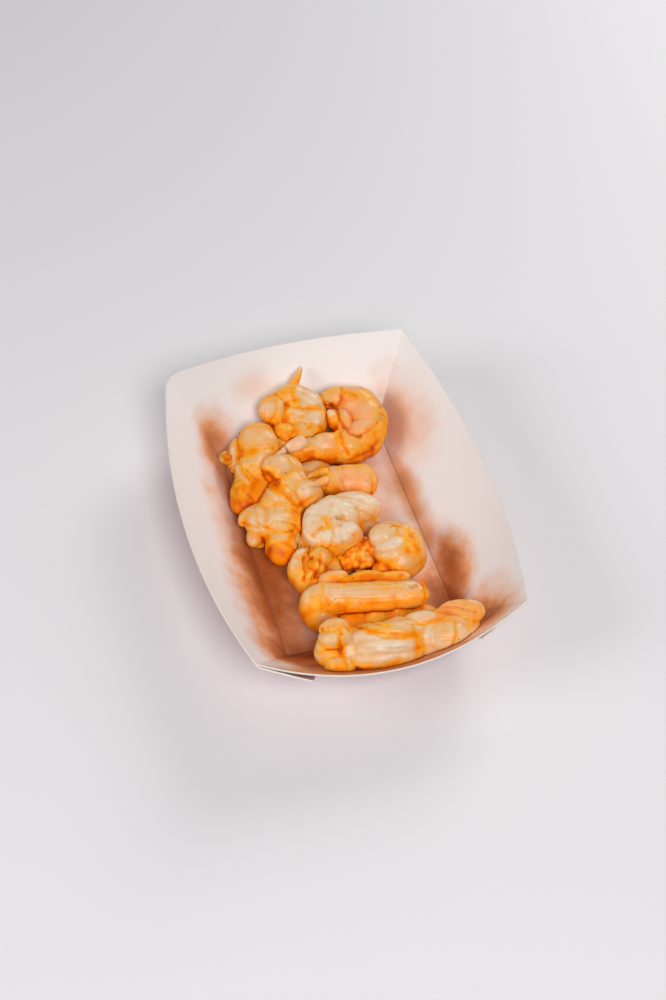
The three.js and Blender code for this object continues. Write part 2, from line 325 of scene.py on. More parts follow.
def wallPoint(wall, across, height):
    end, belly = wall["end"], 1 - across * across
    floorOut = (tray["floorLength"] if end else tray["floorWidth"]) / 2
    floorHalf = (tray["floorWidth"] if end else tray["floorLength"]) / 2
    rimOut = (tray["rimLength"] if end else tray["rimWidth"]) / 2
    rimOut += tray["endBow" if end else "sideBow"] * belly
    rimHalf = (tray["rimWidth"] if end else tray["rimLength"]) / 2
    crease = wall["outward"] * floorOut + wall["along"] * floorHalf * across
    rim = wall["outward"] * rimOut + wall["along"] * rimHalf * across
    rim.z = tray["rimHeight"] - tray["endDip" if end else "sideDip"] * belly
    outward = wall["along"].cross(rim - crease).normalized()
    bulge = tray["endBelly" if end else "sideBelly"] * belly * 4 * height * (1 - height)
    return crease.lerp(rim, height) + outward * bulge


def wallNormal(wall, across, height):
    step = 0.01
    along = wallPoint(wall, across + step, height) - wallPoint(wall, across - step, height)
    rise = wallPoint(wall, across, height + step) - wallPoint(wall, across, height - step)
    return along.cross(rise).normalized()


def sheetPoint(wall, across, height):
    # where a point of the wall lay before the sheet was folded
    crease = wallPoint(wall, across, 0)
    return crease + wall["outward"] * (wallPoint(wall, across, height) - crease).length


def wallLoop(height):
    loop = []
    for number, wall in enumerate(walls):
        following = walls[(number + 1) % 4]
        roundness = tray["creaseRound"] + (tray["cornerRound"] - tray["creaseRound"]) * height
        soft = tray["creaseRound"] + (tray["softCornerRound"] - tray["creaseRound"]) * height
        leave, arrive = soft if number == 2 else roundness, soft if number == 3 else roundness
        half = (tray["rimWidth"] if wall["end"] else tray["rimLength"]) / 2
        nextHalf = (tray["rimWidth"] if following["end"] else tray["rimLength"]) / 2
        steps = tray["endSteps"] if wall["end"] else tray["sideSteps"]
        first, last, nextFirst = -1 + arrive / half, 1 - leave / half, -1 + leave / nextHalf
        for i in range(steps + 1):
            across = first + (last - first) * i / steps
            loop.append([find(wall, across, height) for find in (wallPoint, wallNormal, sheetPoint)])
        start, corner = loop[-1][0], wallPoint(wall, 1, height)
        stop = wallPoint(following, nextFirst, height)
        leaving, arriving = wallNormal(wall, last, height), wallNormal(following, nextFirst, height)
        for i in range(1, tray["cornerSteps"] + 1):
            share = i / (tray["cornerSteps"] + 1)
            point = start.lerp(corner, share).lerp(corner.lerp(stop, share), share)
            sheet = sheetPoint(wall, last, height).lerp(sheetPoint(following, nextFirst, height), share)
            loop.append((point, leaving.lerp(arriving, share).normalized(), sheet))
    return loop


def bandOf(name, count, rings, pointAt):
    # a grid sheet whose vertices are laid where pointAt(i, ring) says
    bpy.ops.mesh.primitive_grid_add(x_subdivisions=count, y_subdivisions=rings, size=1)
    band = bpy.context.object
    band.name = name
    spots = [vertex.co for vertex in band.data.vertices]
    laid = [pointAt(round((spot.x + 0.5) * count), round((spot.y + 0.5) * rings)) for spot in spots]
    writePoints(band, np.array([list(point) for point, sheet in laid]))
    writeVectors(band, "sheet", np.array([list(sheet) for point, sheet in laid]))
    return band


def makeWalls():
    rings = tray["rings"]
    loops = [wallLoop(ring / rings) for ring in range(rings + 1)]
    count = len(loops[0])

    def pointAt(i, ring):
        point, out, sheet = loops[ring][i % count]
        height = ring / rings
        wander = noise.noise(sheet / tray["rippleSize"]) * tray["ripple"] * min(1, height * 5)
        return point + out * wander, sheet

    band = bandOf("trayBoard", count, rings, pointAt)
    openMesh(band)
    bpy.ops.mesh.remove_doubles(threshold=0.01 * mm)
    bpy.ops.mesh.select_all(action="DESELECT")
    bpy.ops.mesh.select_mode(type="VERT")
    closeMesh()
    for vertex in band.data.vertices:
        vertex.select = vertex.co.z < 0.1 * mm
    bpy.ops.object.mode_set(mode="EDIT")
    away, high = tray["beadWide"], tray["beadHigh"]
    reach = 1.0
    for inset, lift in tray["beadRings"]:
        wanted = 1 - away * inset / (tray["floorWidth"] / 2)
        wantedLong = 1 - away * inset / (tray["floorLength"] / 2)
        bpy.ops.mesh.extrude_edges_move()
        closeMesh()
        for vertex in band.data.vertices:
            if vertex.select:
                vertex.co.z = high * lift * mm
                vertex.co.x *= wanted / reach
                vertex.co.y *= wantedLong / (1 - (1 - reach) * tray["floorWidth"] / tray["floorLength"])
        bpy.ops.object.mode_set(mode="EDIT")
        reach = wanted
    for shrink in tray["floorShrinks"]:
        bpy.ops.mesh.extrude_edges_move()
        bpy.ops.transform.resize(value=(shrink, shrink, 1), center_override=(0, 0, 0))
    bpy.ops.mesh.merge(type="CENTER")
    bpy.ops.mesh.select_all(action="SELECT")
    bpy.ops.mesh.normals_make_consistent(inside=False)
    closeMesh()
    # the floor was extruded, so its places on the flat sheet are its own
    halfWide, halfLong = tray["floorWidth"] / 2 * mm, tray["floorLength"] / 2 * mm
    for vertex, spot in zip(band.data.vertices, band.data.attributes["sheet"].data):
        x, y, z = vertex.co
        if abs(x) < halfWide and abs(y) < halfLong and z < 0.5 * mm:
            spot.vector = vertex.co / mm
    return band


def makeTab(wall, side, lift):
    before = walls[(walls.index(wall) + (1 if side > 0 else -1)) % 4]
    turn = -side  # the end of the neighbouring wall that meets this corner

    def pointAt(i, ring):
        share = i / tabs["across"]
        foot = tabs["foot"] + tabs["rise"] * share * share
        height = foot + (tabs["top"] - foot) * ring / tabs["up"]
        wrap = tabs["wrap"]
        if share < wrap:
            lead = share / wrap
            spot = before, turn * (tabs["sideStart"] + tabs["sideRun"] * lead), height
            away = tabs["away"] + tabs["awayRun"] * lead
        else:
            run = (share - wrap) / (1 - wrap)
            spot = wall, side * (tabs["endStart"] - tabs["reach"] * run), height
            away = tabs["awayEnd"] + lift * run ** tabs["opening"]
        across = share * tabs["printWide"] + tabs["printFrom"]
        sheet = Vector((across, height * tabs["printHigh"], tabs["printLevel"]))
        return wallPoint(*spot) + wallNormal(*spot) * away, sheet

    flap = bandOf("flap", tabs["across"], tabs["up"], pointAt)
    openMesh(flap)
    if side > 0:
        bpy.ops.mesh.flip_normals()
    closeMesh()
    return flap


def makeTray():
    board = makeWalls()
    front, back = walls[0], walls[2]
    flaps = [makeTab(front, -1, tabs["sprungLift"]), makeTab(front, 1, tabs["lift"]),
             makeTab(back, -1, tabs["lift"]), makeTab(back, 1, tabs["lift"])]
    finishes = [trayInside(), trayOutside(), trayEdge()]
    for piece in (board, *flaps):
        for finish in finishes:
            piece.data.materials.append(finish.material)
        # a face's own side is the printed outside; the thickness adds the plain inside
        for face in piece.data.polygons:
            face.material_index = 1
        offset, inner = (-1, -1) if piece is board else (1, 1)
        modify(piece, "SOLIDIFY", thickness=tray["board"] * mm, offset=offset, use_even_offset=True,
               material_offset=inner, material_offset_rim=1)
        pick(piece)
        bpy.ops.object.shade_smooth_by_angle(angle=math.radians(tray["smoothAngle"]))
    return joinAll([board, *flaps], "trayBoard")


# Finishes of the board. A soak is a warm brown patch on the inside of the board: partly grease and sauce
# gone into it, partly painted shadow of the tails and painted orange light bounced from them. Its middle
# and half sizes in millimetres, and how strong it is from 0 to 1
soaksAndShade = [
    ((-27, -14, 3), (15, 52, 18), 0.97),
    ((-24, -46, 7), (22, 18, 15), 1.0),
    ((-28, 32, 2), (10, 36, 11), 0.68),
    ((-30, 45, 7), (10, 15, 10), 0.86),
    ((-12, 61, 14), (9, 7, 7), 0.24),
    ((0, 2, 0), (38, 56, 7), 0.57),
    ((29, 4, 1), (7, 42, 6), 0.64),
    ((32, -26, 5), (10, 18, 10), 0.95),
    ((26, -40, 1), (16, 30, 9), 0.95),
    ((33, 36, 9), (14, 22, 18), 0.48),
    ((30, -54, 11), (17, 17, 17), 0.95),
    ((0, -66, 19), (46, 15, 17), 0.9),
]


boardLook = {
    "wander": 1.5, "soakEdge": (0.1, 1.3), "mottle": 0.12,
    "creaseEdge": (0.15, 0.7), "creaseTop": (0.7, 1.4), "creaseShade": 0.4,
    "flapLevel": (8, 8.9), "row": 0.45, "rowEdge": (0.62, 0.72),
    "check": 6.0, "checkEdge": (0.49, 0.51), "checkShift": 100.25,
}


def trayInside():
    finish = Finish("boardInside", Roughness=0.52, Specular_IOR_Level=0.4)
    place = finish.place()
    cloud, mottle = finish.grain(place, 17, 5, 0.6), finish.grain(place, 2.5, 4, 0.6)
    # each soak paints grease stain together with painted shadow and painted bounce light from the tails
    soakedAndShaded = 0.0
    for middle, size, strong in soaksAndShade:
        moved = finish.node("Mapping", {"vector_type": "TEXTURE"}, {
            "Vector": place, "Location": [v * mm for v in middle], "Scale": [v * mm for v in size]})
        away = finish.node("VectorMath", {"operation": "LENGTH"}, {0: moved}, "Value")
        away = away + (cloud - 0.5) * boardLook["wander"]
        here = (1 - finish.step(away, *boardLook["soakEdge"])) * strong
        soakedAndShaded = finish.maths("MAXIMUM", soakedAndShaded, here)
    sheet = finish.vectors("sheet")
    onFlap = finish.step(finish.part(sheet, 2), *boardLook["flapLevel"])
    soakedAndShaded = soakedAndShaded * (1 - onFlap)
    heat = soakedAndShaded + (mottle - 0.5) * boardLook["mottle"] * soakedAndShaded
    colour = finish.node("ValToRGB", {"stops": [
        (0, paint(239, 233, 231)), (0.3, paint(236, 206, 190)), (0.6, paint(228, 160, 112)),
        (1, paint(176, 88, 32)),
    ]}, {"Fac": heat})
    # painted shade: a dark line along the floor creases, fading out a little above the floor
    lines = []
    for way, key in enumerate(("floorWidth", "floorLength")):
        off = finish.maths("ABSOLUTE", finish.part(place, way)) - tray[key] / 2 * mm
        off = finish.maths("ABSOLUTE", off)
        lines.append(1 - finish.step(off, *[v * mm for v in boardLook["creaseEdge"]]))
    top = finish.step(finish.part(place, 2), *[v * mm for v in boardLook["creaseTop"]])
    crease = finish.maths("MAXIMUM", *lines) * (1 - top)
    colour = finish.blend(crease * boardLook["creaseShade"], colour, paint(150, 104, 84))
    row = finish.maths("FRACT", finish.part(sheet, 1) * boardLook["row"])
    inked = onFlap * finish.step(row, *boardLook["rowEdge"])
    finish.set({"Base_Color": finish.blend(inked, colour, paint(222, 116, 122))})
    finish.bump(finish.grain(place, 0.5, 4, 0.6), 0.02)
    return finish


def trayOutside():
    finish = Finish("boardOutside", Roughness=0.45, Specular_IOR_Level=0.45)
    sheet = finish.vectors("sheet")
    bars = []
    for way in range(2):
        phase = finish.part(sheet, way) / (2 * boardLook["check"]) + boardLook["checkShift"]
        bars.append(finish.step(finish.maths("FRACT", phase), *boardLook["checkEdge"]))
    red = (bars[0] + bars[1]) * 0.5
    finish.set({"Base_Color": finish.blend(red, paint(244, 240, 238), paint(206, 52, 52))})
    finish.bump(finish.grain(finish.place(), 0.5, 3), 0.015)
    return finish


def trayEdge():
    finish = Finish("boardEdge", Roughness=0.8)
    place = finish.place()
    fibres = finish.grain(place, 0.4, 4, 0.7)
    finish.set({"Base_Color": finish.blend(fibres, paint(238, 230, 222), paint(214, 202, 190))})
    finish.bump(fibres, 0.08)
    return finish


trayPiece = makeTray()
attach(trayPiece, "root")
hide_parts("tray")
print("tray is folded,", len(trayPiece.data.polygons), "faces")

# Shrimp tails. Sizes are in millimetres; heading is on the table from +X, pitch upwards, and roll
# turns the back to the left. A lump lies at a share of the spine, offset ahead, left and back of it.
# A fold is a lump that is seen at a pixel of the picture, so high above the table.
# A stroke is a line over the surface, drawn through pixels of the picture. It is so wide, lifts the
# flesh or presses it in, and may carry sauce, blush (pink), pallor, which also paints highlights on lit domes
# and edges, or dark, which paints shade, mostly into pits and holes, each from 0 to 1.
def lump(at, offset, size):
    return {"at": at, "offset": offset, "size": size}


def fold(pixel, height, size, heading=0):
    return {"pixel": pixel, "height": height, "size": size, "heading": heading}


def stroke(line, wide, **looks):
    return {"line": line, "wide": wide, **looks}


flesh = {
    "voxel": 0.28,
    "lobeSegments": 36, "lobeRings": 24,
    "spineSteps": 60, "bandReach": 1.05,
    "coreSteps": 3,  # balls that fill the seams, for each band
    "gap": 0.1,  # between touching tails
    "softening": 22, "lastSoftening": 4, "seamWide": 0.4, "seamDeep": 0.12,
    "lip": 0.34,  # how far a band's free edge stands over the next one
    "lipGroove": 0.6, "lipRise": 0.9, "lipAt": 0.98, "lipWide": 0.035,
    "lipSlant": 0.14, "lipStray": 0.1, "lipStraySize": 5,
    "swell": 0.45, "swellSize": 5.0, "pimple": 0.06, "pimpleSize": 1.3,
    "thread": 0.08, "threadSize": 1.1, "threadStretch": 0.22,
    "crease": 0.1, "creaseSize": 4.2, "creaseWide": 0.09, "creaseStretch": 0.6, "creaseFade": 7,
    "strandLead": 0.4,
    "markStep": 1.5,  # pixels between the points of a mark
    "touchReach": 1.6,
}
tails = [{
    "name": "tailMiddleLeft", "node": "shrimp_middle_left",
    "start": (-7.8, 16.9, 9.5), "heading": -154, "pitch": -7, "swerve": 50, "bend": (0.05, 0.5),
    "length": 29, "segments": 4, "width": 15, "height": 15, "profile": (0.8, 0.45, 0.5),
    "fill": 0.94, "warmth": 0.38, "lip": 1,
    "lumps": [
        lump(0, (-0.3, -6.2, 0), (5.8, 6.2, 6.5)),
        lump(0, (1.5, 5.4, 0), (5.4, 5.4, 6.5)),
        lump(0.5, (-2.5, -8.2, -2.5), (3.4, 4.2, 2.4)),
        lump(0.62, (2, -7.6, -3), (4.2, 3.8, 2.2)),
    ],
    "folds": [
        fold((277, 469), 15, (5.4, 5, 4.5)),
        fold((263, 521), 9, (6.5, 6.5, 4)),
        fold((253, 515), 8.5, (6.2, 2.9, 3.2), heading=204),
        fold((257, 532), 6.5, (6.2, 3.2, 3.2), heading=236),
    ],
    "marks": [
        stroke([(283, 466), (276, 468)], 3, pale=0.3),
        stroke([(302, 488), (298, 494), (288, 490)], 2.2, pale=0.55),
        stroke([(262, 473), (270, 476), (278, 486), (288, 497)], 1.9, lift=-0.5, sauce=1),
        stroke([(272, 474), (282, 488), (292, 494)], 1.2, sauce=0.75),
        stroke([(290, 502), (298, 505), (306, 502), (313, 497)], 0.8, lift=-0.3, sauce=0.9),
        stroke([(258, 481), (270, 493), (288, 504)], 0.9, lift=0.3, pale=0.6),
        stroke([(288, 509), (296, 512)], 0.9, sauce=0.9),
        stroke([(256, 521), (268, 529), (280, 533), (293, 531)], 0.45, lift=-0.4, sauce=0.35),
        stroke([(255, 497), (268, 508), (284, 513), (294, 512)], 0.4, lift=-0.15),
        stroke([(295, 515), (294, 530), (287, 542)], 1.4, sauce=0.75),
        stroke([(270, 552), (283, 553)], 2.8, sauce=1),
        stroke([(241, 524), (250, 525), (258, 527)], 0.6, lift=-0.4, sauce=0.2),
        stroke([(254, 503), (257, 518), (259, 532), (263, 543)], 0.6, lift=-0.3, sauce=0.15),
        stroke([(252, 508), (246, 513), (240, 518)], 0.5, lift=0.3),
        stroke([(250, 512), (256, 514)], 0.4, lift=-0.3),
    ],
}, {
    "name": "tailMiddle", "node": "shrimp_middle",
    "start": (3, -6.8, 9), "heading": -120, "pitch": -7, "roll": 90, "curl": 325,
    "length": 31, "segments": 6, "width": 14, "height": 11, "profile": (0.9, 0.4, 1),
    "fill": 0.985, "warmth": 0.22, "lip": 0.12,
    "lumps": [
        lump(0.5, (0, 0, -5.2), (4.5, 5, 4.5)),
        lump(0.9, (3.5, 3.5, 5), (6.5, 5, 5.5)),
    ],
    "folds": [
        fold((352, 509), 10.5, (10, 6.2, 5.4), heading=-8),
        fold((328, 520), 12.6, (6.4, 6, 4.2)),
        fold((302, 545), 4, (5, 5, 4)),
    ],
    "marks": [
        stroke([(305, 518), (316, 510), (330, 506), (345, 508)], 2.6, pale=0.85),
        stroke([(355, 522), (345, 528), (335, 535), (318, 538)], 2.4, pale=0.7),
        stroke([(304, 522), (306, 534), (315, 544)], 2, pale=0.6),
        stroke([(325, 517), (329, 523)], 1.1, lift=-0.6, sauce=0.8),
        stroke([(327, 526), (318, 530), (312, 536)], 0.8, lift=-0.4, sauce=0.6),
        stroke([(332, 518), (343, 517)], 0.7, lift=-0.35, sauce=0.35),
        stroke([(321, 515), (309, 513), (299, 517)], 0.7, lift=-0.35),
        stroke([(329, 512), (332, 503)], 0.8, lift=-0.2, sauce=0.35),
        stroke([(331, 526), (334, 536), (331, 547)], 0.6, lift=-0.4, sauce=0.35),
        stroke([(338, 523), (350, 533), (356, 536)], 0.6, lift=-0.3),
        stroke([(318, 532), (322, 541), (321, 548)], 0.5, lift=-0.3, sauce=0.3),
        stroke([(338, 519), (342, 520)], 0.4, lift=-0.3, sauce=0.5, dark=0.6),
        stroke([(350, 508), (362, 510), (371, 517), (376, 523)], 0.5, lift=-0.4, sauce=0.4),
        stroke([(340, 496), (356, 500), (370, 506)], 0.5, lift=-0.25),
        stroke([(361, 516), (366, 508), (376, 512)], 1.2, sauce=0.3),
        stroke([(368, 500), (366, 507)], 1.2, pale=0.5),
        stroke([(345, 545), (336, 548), (324, 546)], 0.8, sauce=0.6),
        stroke([(355, 535), (362, 528)], 0.8, sauce=0.6),
    ],
}, {
    "name": "tailRight", "node": "shrimp_right",
    "start": (11.4, -14, 9), "heading": 30, "roll": 90, "curl": 230,
    "length": 21, "segments": 4, "width": 16, "height": 12, "profile": (0.9, 0.4, 0.8),
    "fill": 0.95, "warmth": 0.34, "lip": 0.2,
    "roe": {"place": (4.2, -15, 6.2), "spread": (7.6, 5.2, 3.6), "count": 90, "radius": (0.8, 1.7)},
    "folds": [
        fold((394, 552), 12, (6.5, 6, 5)),
        fold((396, 567), 8, (8, 4, 5)),
        fold((384, 536), 14, (5, 4.5, 4)),
    ],
    "marks": [
        stroke([(374, 546), (386, 543), (397, 541)], 2.4, lift=0.12, pale=0.9),
        stroke([(378, 537), (390, 533), (398, 534)], 2.4, pale=0.45),
        stroke([(373, 553), (386, 550), (402, 548)], 0.8, lift=-0.3, sauce=0.3),
        stroke([(402, 532), (404, 535)], 1, lift=0.3, pale=0.8),
        stroke([(407, 529), (413, 538), (418, 549)], 1.1, sauce=1),
        stroke([(405, 543), (410, 551)], 1.1, sauce=0.7),
        stroke([(367, 528), (369, 540), (368, 552)], 1.2, sauce=0.9),
        stroke([(380, 575), (392, 577), (404, 576)], 1.4, sauce=0.85),
        stroke([(375, 560), (385, 558), (396, 564)], 1.3, sauce=0.4),
        stroke([(400, 560), (411, 566), (406, 572)], 1.6, pale=0.3),
        stroke([(389, 552), (400, 560), (402, 572)], 0.5, lift=-0.15),
        stroke([(334, 552), (345, 556), (358, 548), (364, 540)], 2.4, sauce=0.8),
        stroke([(345, 566), (360, 562), (370, 565), (388, 570)], 2.6, sauce=1),
        stroke([(381, 566), (382, 570)], 0.8, lift=0.3, pale=0.8),
        stroke([(363, 564), (363, 566)], 0.6, lift=0.2, pale=0.5),
    ],
}, {
    "name": "tailRoll", "node": "shrimp_roll",
    "start": (15, -39.2, 13), "heading": 167, "curl": 180, "bend": (0.46, 0.67),
    "length": 62, "segments": 8, "width": 11, "height": 10, "profile": (0.8, 0.5, 0.85),
    "fill": 0.985, "warmth": 0.42, "lip": 0,
    "lumps": [
        lump(0.4, (0, -7, -5), (4.5, 4, 4)),
        lump(0.15, (0, -6, -5), (8, 4, 4)),
        lump(0.56, (0, 1.5, -2), (6.5, 6.5, 6)),
        lump(0.78, (0, 3, 0), (6, 5, 5)),
    ],
    "folds": [
        fold((333, 579), 11.2, (5, 3, 2.6)),
        fold((362, 581), 12, (7.5, 3, 2.6)),
        fold((390, 580), 12, (7, 3, 2.6)),
    ],
    "marks": [
        stroke([(335, 592), (360, 593), (405, 592)], 1.5, pale=0.45, blush=0.35),
        stroke([(392, 584), (415, 582)], 1.2, pale=0.3),
        stroke([(330, 587), (355, 585), (385, 584), (412, 581)], 0.35, lift=-0.2, sauce=0.25),
        stroke([(348, 590), (375, 589), (402, 588)], 0.35, lift=-0.22, sauce=0.2),
        stroke([(336, 597), (365, 598), (395, 597)], 0.35, lift=-0.15, sauce=0.3),
        stroke([(411, 586), (417, 586)], 0.4, lift=-0.6, dark=1),
        stroke([(420, 577), (426, 583), (427, 590), (423, 598)], 0.8, lift=0.2, sauce=0.95),
        stroke([(332, 580), (360, 582), (395, 579)], 0.8, sauce=0.7),
        stroke([(321, 581), (322, 590), (327, 599)], 0.5, lift=-0.45, sauce=0.35),
        stroke([(311, 597), (320, 594)], 0.35, lift=-0.3, sauce=0.3),
        stroke([(300, 592), (309, 588)], 2.5, pale=0.15),
        stroke([(326, 603), (345, 606)], 1.6, sauce=0.6),
        stroke([(348, 602), (380, 603), (412, 600)], 1.1, sauce=0.6),
        stroke([(350, 577), (378, 576), (400, 577)], 1.3, sauce=0.8),
        stroke([(327, 576), (338, 573)], 1.2, blush=0.6),
        stroke([(318, 612), (300, 617)], 1.3, sauce=0.4),
    ],
}, {
    "name": "tailFront", "node": "shrimp_front",
    "start": (-18, -53.5, 15.5), "heading": -7, "roll": 142,
    "length": 43, "segments": 5, "width": 15, "height": 13, "profile": (0.8, 0.4, 0.75),
    "fill": 0.97, "warmth": 0.34, "lip": 0.3,
    "lumps": [
        lump(0.05, (0, -3.8, -2.5), (5, 4.4, 4.6)),
        lump(0.05, (0.5, 4.2, -2.5), (5.2, 4.6, 4.6)),
        lump(0.42, (0, -3.2, -2.8), (12.5, 4, 4.6)),
        lump(0.42, (-1, 3.2, -2.8), (12.5, 4.2, 4.6)),
        lump(0.83, (0, 0, -2.5), (8, 5.6, 4.6)),
        lump(0.08, (-1, -7, -1), (4.8, 2.8, 3)),
        lump(0.68, (0, -5.4, -0.8), (6.4, 3.4, 3.2)),
        lump(0.42, (0, 0, -3.6), (12, 4.4, 4.4)),
        lump(0.98, (-1.5, -6.6, -1.6), (7.8, 4.6, 1.8)),
        lump(0.9, (0, -3.5, -1.5), (6, 4, 3.6)),
    ],
    "marks": [
        stroke([(350, 640), (375, 640), (408, 645)], 2.4, pale=0.9),
        stroke([(352, 657), (375, 656), (402, 651)], 2.4, pale=0.9),
        stroke([(350, 648), (380, 648), (414, 649)], 0.5, lift=-0.12, sauce=0.05),
        stroke([(342, 629), (340, 640), (342, 655), (349, 666)], 0.9, lift=-0.45, sauce=0.9),
        stroke([(414, 629), (419, 640), (418, 656)], 1.1, lift=-0.3, sauce=0.6),
        stroke([(352, 625), (370, 630), (390, 634), (412, 636)], 1, lift=-0.3, sauce=0.95),
        stroke([(366, 633), (390, 638), (404, 639)], 0.5, lift=-0.2),
        stroke([(320, 640), (332, 640)], 2, pale=0.4),
        stroke([(328, 660), (336, 662)], 2, pale=0.3),
        stroke([(317, 654), (328, 651), (339, 651)], 0.6, lift=-0.5, sauce=0.3),
        stroke([(320, 621), (334, 624), (344, 625)], 1.4, blush=0.5),
        stroke([(317, 630), (328, 631), (340, 629)], 0.6, lift=-0.5, sauce=0.7),
        stroke([(428, 632), (436, 642), (440, 652), (428, 656)], 2.2, pale=0.85),
        stroke([(422, 640), (425, 650), (423, 658)], 0.5, lift=-0.25),
        stroke([(455, 622), (457, 634), (453, 646), (446, 653)], 0.45, lift=-0.4, sauce=0.5),
        stroke([(462, 622), (463, 632), (460, 641)], 1.1, pale=0.5),
        stroke([(440, 609), (457, 609), (474, 612)], 3.6, blush=0.55, sauce=0.5, dark=0.14),
        stroke([(436, 607), (456, 607), (476, 612)], 0.5, lift=-0.6, sauce=0.6),
        stroke([(438, 611), (456, 614), (470, 620)], 0.5, lift=-0.6, sauce=0.5),
        stroke([(444, 599), (460, 601), (476, 608)], 0.5, lift=-0.2, sauce=0.8),
        stroke([(416, 615), (428, 614), (436, 617)], 1.3, pale=0.6, blush=0.4),
        stroke([(408, 623), (424, 624), (440, 619)], 0.6, lift=-0.4, sauce=0.6),
        stroke([(390, 620), (400, 619)], 1.3, blush=0.6),
        stroke([(360, 612), (368, 612)], 1.4, blush=0.3),
        stroke([(356, 621), (374, 623), (388, 626)], 0.6, lift=-0.3, sauce=0.8),
        stroke([(332, 670), (350, 670), (366, 669)], 2.4, sauce=1),
        stroke([(366, 670), (385, 666), (400, 661)], 1.1, sauce=0.7),
        stroke([(402, 660), (420, 660)], 1, sauce=0.4),
    ],
}, {
    "name": "tailBackRight", "node": "shrimp_back_right",
    "start": (11.5, 47.3, 12.5), "heading": 3, "roll": 75, "curl": 192, "bend": (0.05, 0.66),
    "length": 51, "segments": 7, "width": 15, "height": 13.5, "profile": (0.55, 0.35, 0.6),
    "fill": 0.95, "warmth": 0.42, "lip": 0.5,
    "lumps": [lump(0.36, (0, 0, -9.5), (6, 5, 4))],
    "strands": [
        {"aside": 6, "rise": -12, "length": 14, "width": 5, "high": 3},
        {"aside": -6, "rise": -30, "length": 12, "width": 5, "high": 3},
    ],
    "folds": [
        fold((334, 420), 12, (3, 4, 3.5)),
    ],
    "marks": [
        stroke([(350, 408), (363, 411), (364, 420), (356, 426)], 3.6, lift=0.7, blush=0.9, pale=0.3),
        stroke([(365, 415), (368, 420)], 1.4, pale=0.5),
        stroke([(346, 420), (352, 429)], 1, pale=0.35),
        stroke([(341, 388), (342, 400), (337, 409)], 0.6, lift=-0.5, sauce=0.95),
        stroke([(345, 392), (356, 396)], 1, sauce=0.8),
        stroke([(344, 401), (350, 400), (358, 399)], 0.5, lift=-0.25, sauce=0.4),
        stroke([(337, 410), (342, 424), (350, 434), (360, 436)], 0.8, lift=-0.55, sauce=1),
        stroke([(360, 436), (368, 431), (377, 423)], 0.8, lift=-0.35, sauce=0.8),
        stroke([(333, 396), (337, 398)], 1.4, blush=0.8),
        stroke([(331, 405), (333, 407)], 0.7, lift=-1, sauce=1, dark=0.6),
        stroke([(324, 406), (330, 408)], 1.2, sauce=1),
        stroke([(326, 424), (335, 424), (336, 430)], 1.7, sauce=0.85),
        stroke([(329, 412), (331, 416)], 0.9, lift=0.8, pale=0.4),
        stroke([(339, 432), (343, 444), (349, 455)], 0.7, lift=-0.45, sauce=0.8),
        stroke([(352, 441), (364, 442)], 2.4, blush=0.25),
        stroke([(376, 430), (377, 440), (370, 451), (352, 458)], 1.5, sauce=0.65),
        stroke([(310, 440), (317, 443)], 1.7, lift=0.15, pale=0.95),
        stroke([(324, 440), (332, 443)], 1.8, blush=0.8),
        stroke([(335, 436), (336, 446), (341, 456)], 0.4, lift=-0.3, sauce=0.3),
        stroke([(300, 436), (303, 444), (300, 450)], 0.5, lift=-0.3, sauce=0.5),
        stroke([(303, 455), (315, 459), (330, 460)], 1.4, sauce=0.7),
        stroke([(276, 455), (288, 446), (297, 440)], 1.6, blush=0.5, pale=0.6),
        stroke([(280, 456), (290, 450), (299, 447)], 0.35, lift=-0.35, sauce=0.2),
    ],
}, {
    "name": "tailLeft", "node": "shrimp_left",
    "start": (-15.5, 40.5, 10), "heading": -98, "pitch": -7, "swerve": -34,
    "length": 27, "segments": 3, "width": 15, "height": 14, "profile": (0.9, 0.3, 0.6),
    "fill": 0.95, "warmth": 0.4, "lip": 0.8,
    "lumps": [
        lump(0.3, (0, -8, -0.5), (7, 2.4, 2.8)),
        lump(0.3, (0, -10.5, -2), (3, 3.2, 1.6)),
    ],
    "marks": [
        stroke([(247, 435), (258, 438)], 3, pale=0.3),
        stroke([(238, 434), (240, 440)], 0.9, sauce=0.6),
        stroke([(240, 444), (242, 455)], 1.6, sauce=1),
        stroke([(246, 453), (254, 451)], 1.2, sauce=0.75),
        stroke([(232, 450), (234, 464), (240, 476), (248, 484)], 0.9, lift=0.5, pale=0.5),
        stroke([(238, 458), (241, 468), (249, 479)], 0.5, lift=-0.5, sauce=0.2),
        stroke([(254, 449), (264, 450), (274, 449)], 0.4, lift=-0.3),
        stroke([(247, 470), (251, 475), (257, 479)], 0.7, lift=-0.3, sauce=0.6),
        stroke([(233, 480), (235, 495)], 1.2, sauce=0.7),
        stroke([(243, 487), (254, 484), (250, 494)], 2, sauce=1),
        stroke([(234, 500), (242, 505), (250, 503)], 2.6, sauce=1),
        stroke([(224, 457), (230, 460)], 1.2, sauce=0.8),
    ],
}, {
    "name": "tailBackLeft", "node": "shrimp_back_left",
    "start": (-4, 51, 14), "heading": 12, "roll": 72, "curl": 200,
    "length": 26, "segments": 4, "width": 13, "height": 11.5, "profile": (0.85, 0.4, 0.8),
    "fill": 0.95, "warmth": 0.36, "lip": 0.5,
    "lumps": [
        lump(0, (-4, 0, -3), (5.5, 5, 6)),
        lump(1, (3, 0, -1), (5, 5, 4.5)),
        lump(0.5, (0, 0, -6), (5, 5, 4)),
    ],
    "strands": [{"at": 0.05, "rise": 50, "length": 16.5, "width": 4, "high": 3.4}],
    "folds": [
        fold((300, 409), 14, (6, 5.5, 4)),
        fold((312, 420), 12, (3.5, 4, 4)),
        fold((272, 414), 11, (4, 4, 4)),
    ],
    "marks": [
        stroke([(303, 400), (311, 401), (319, 403)], 1.6, lift=0.1, pale=0.8),
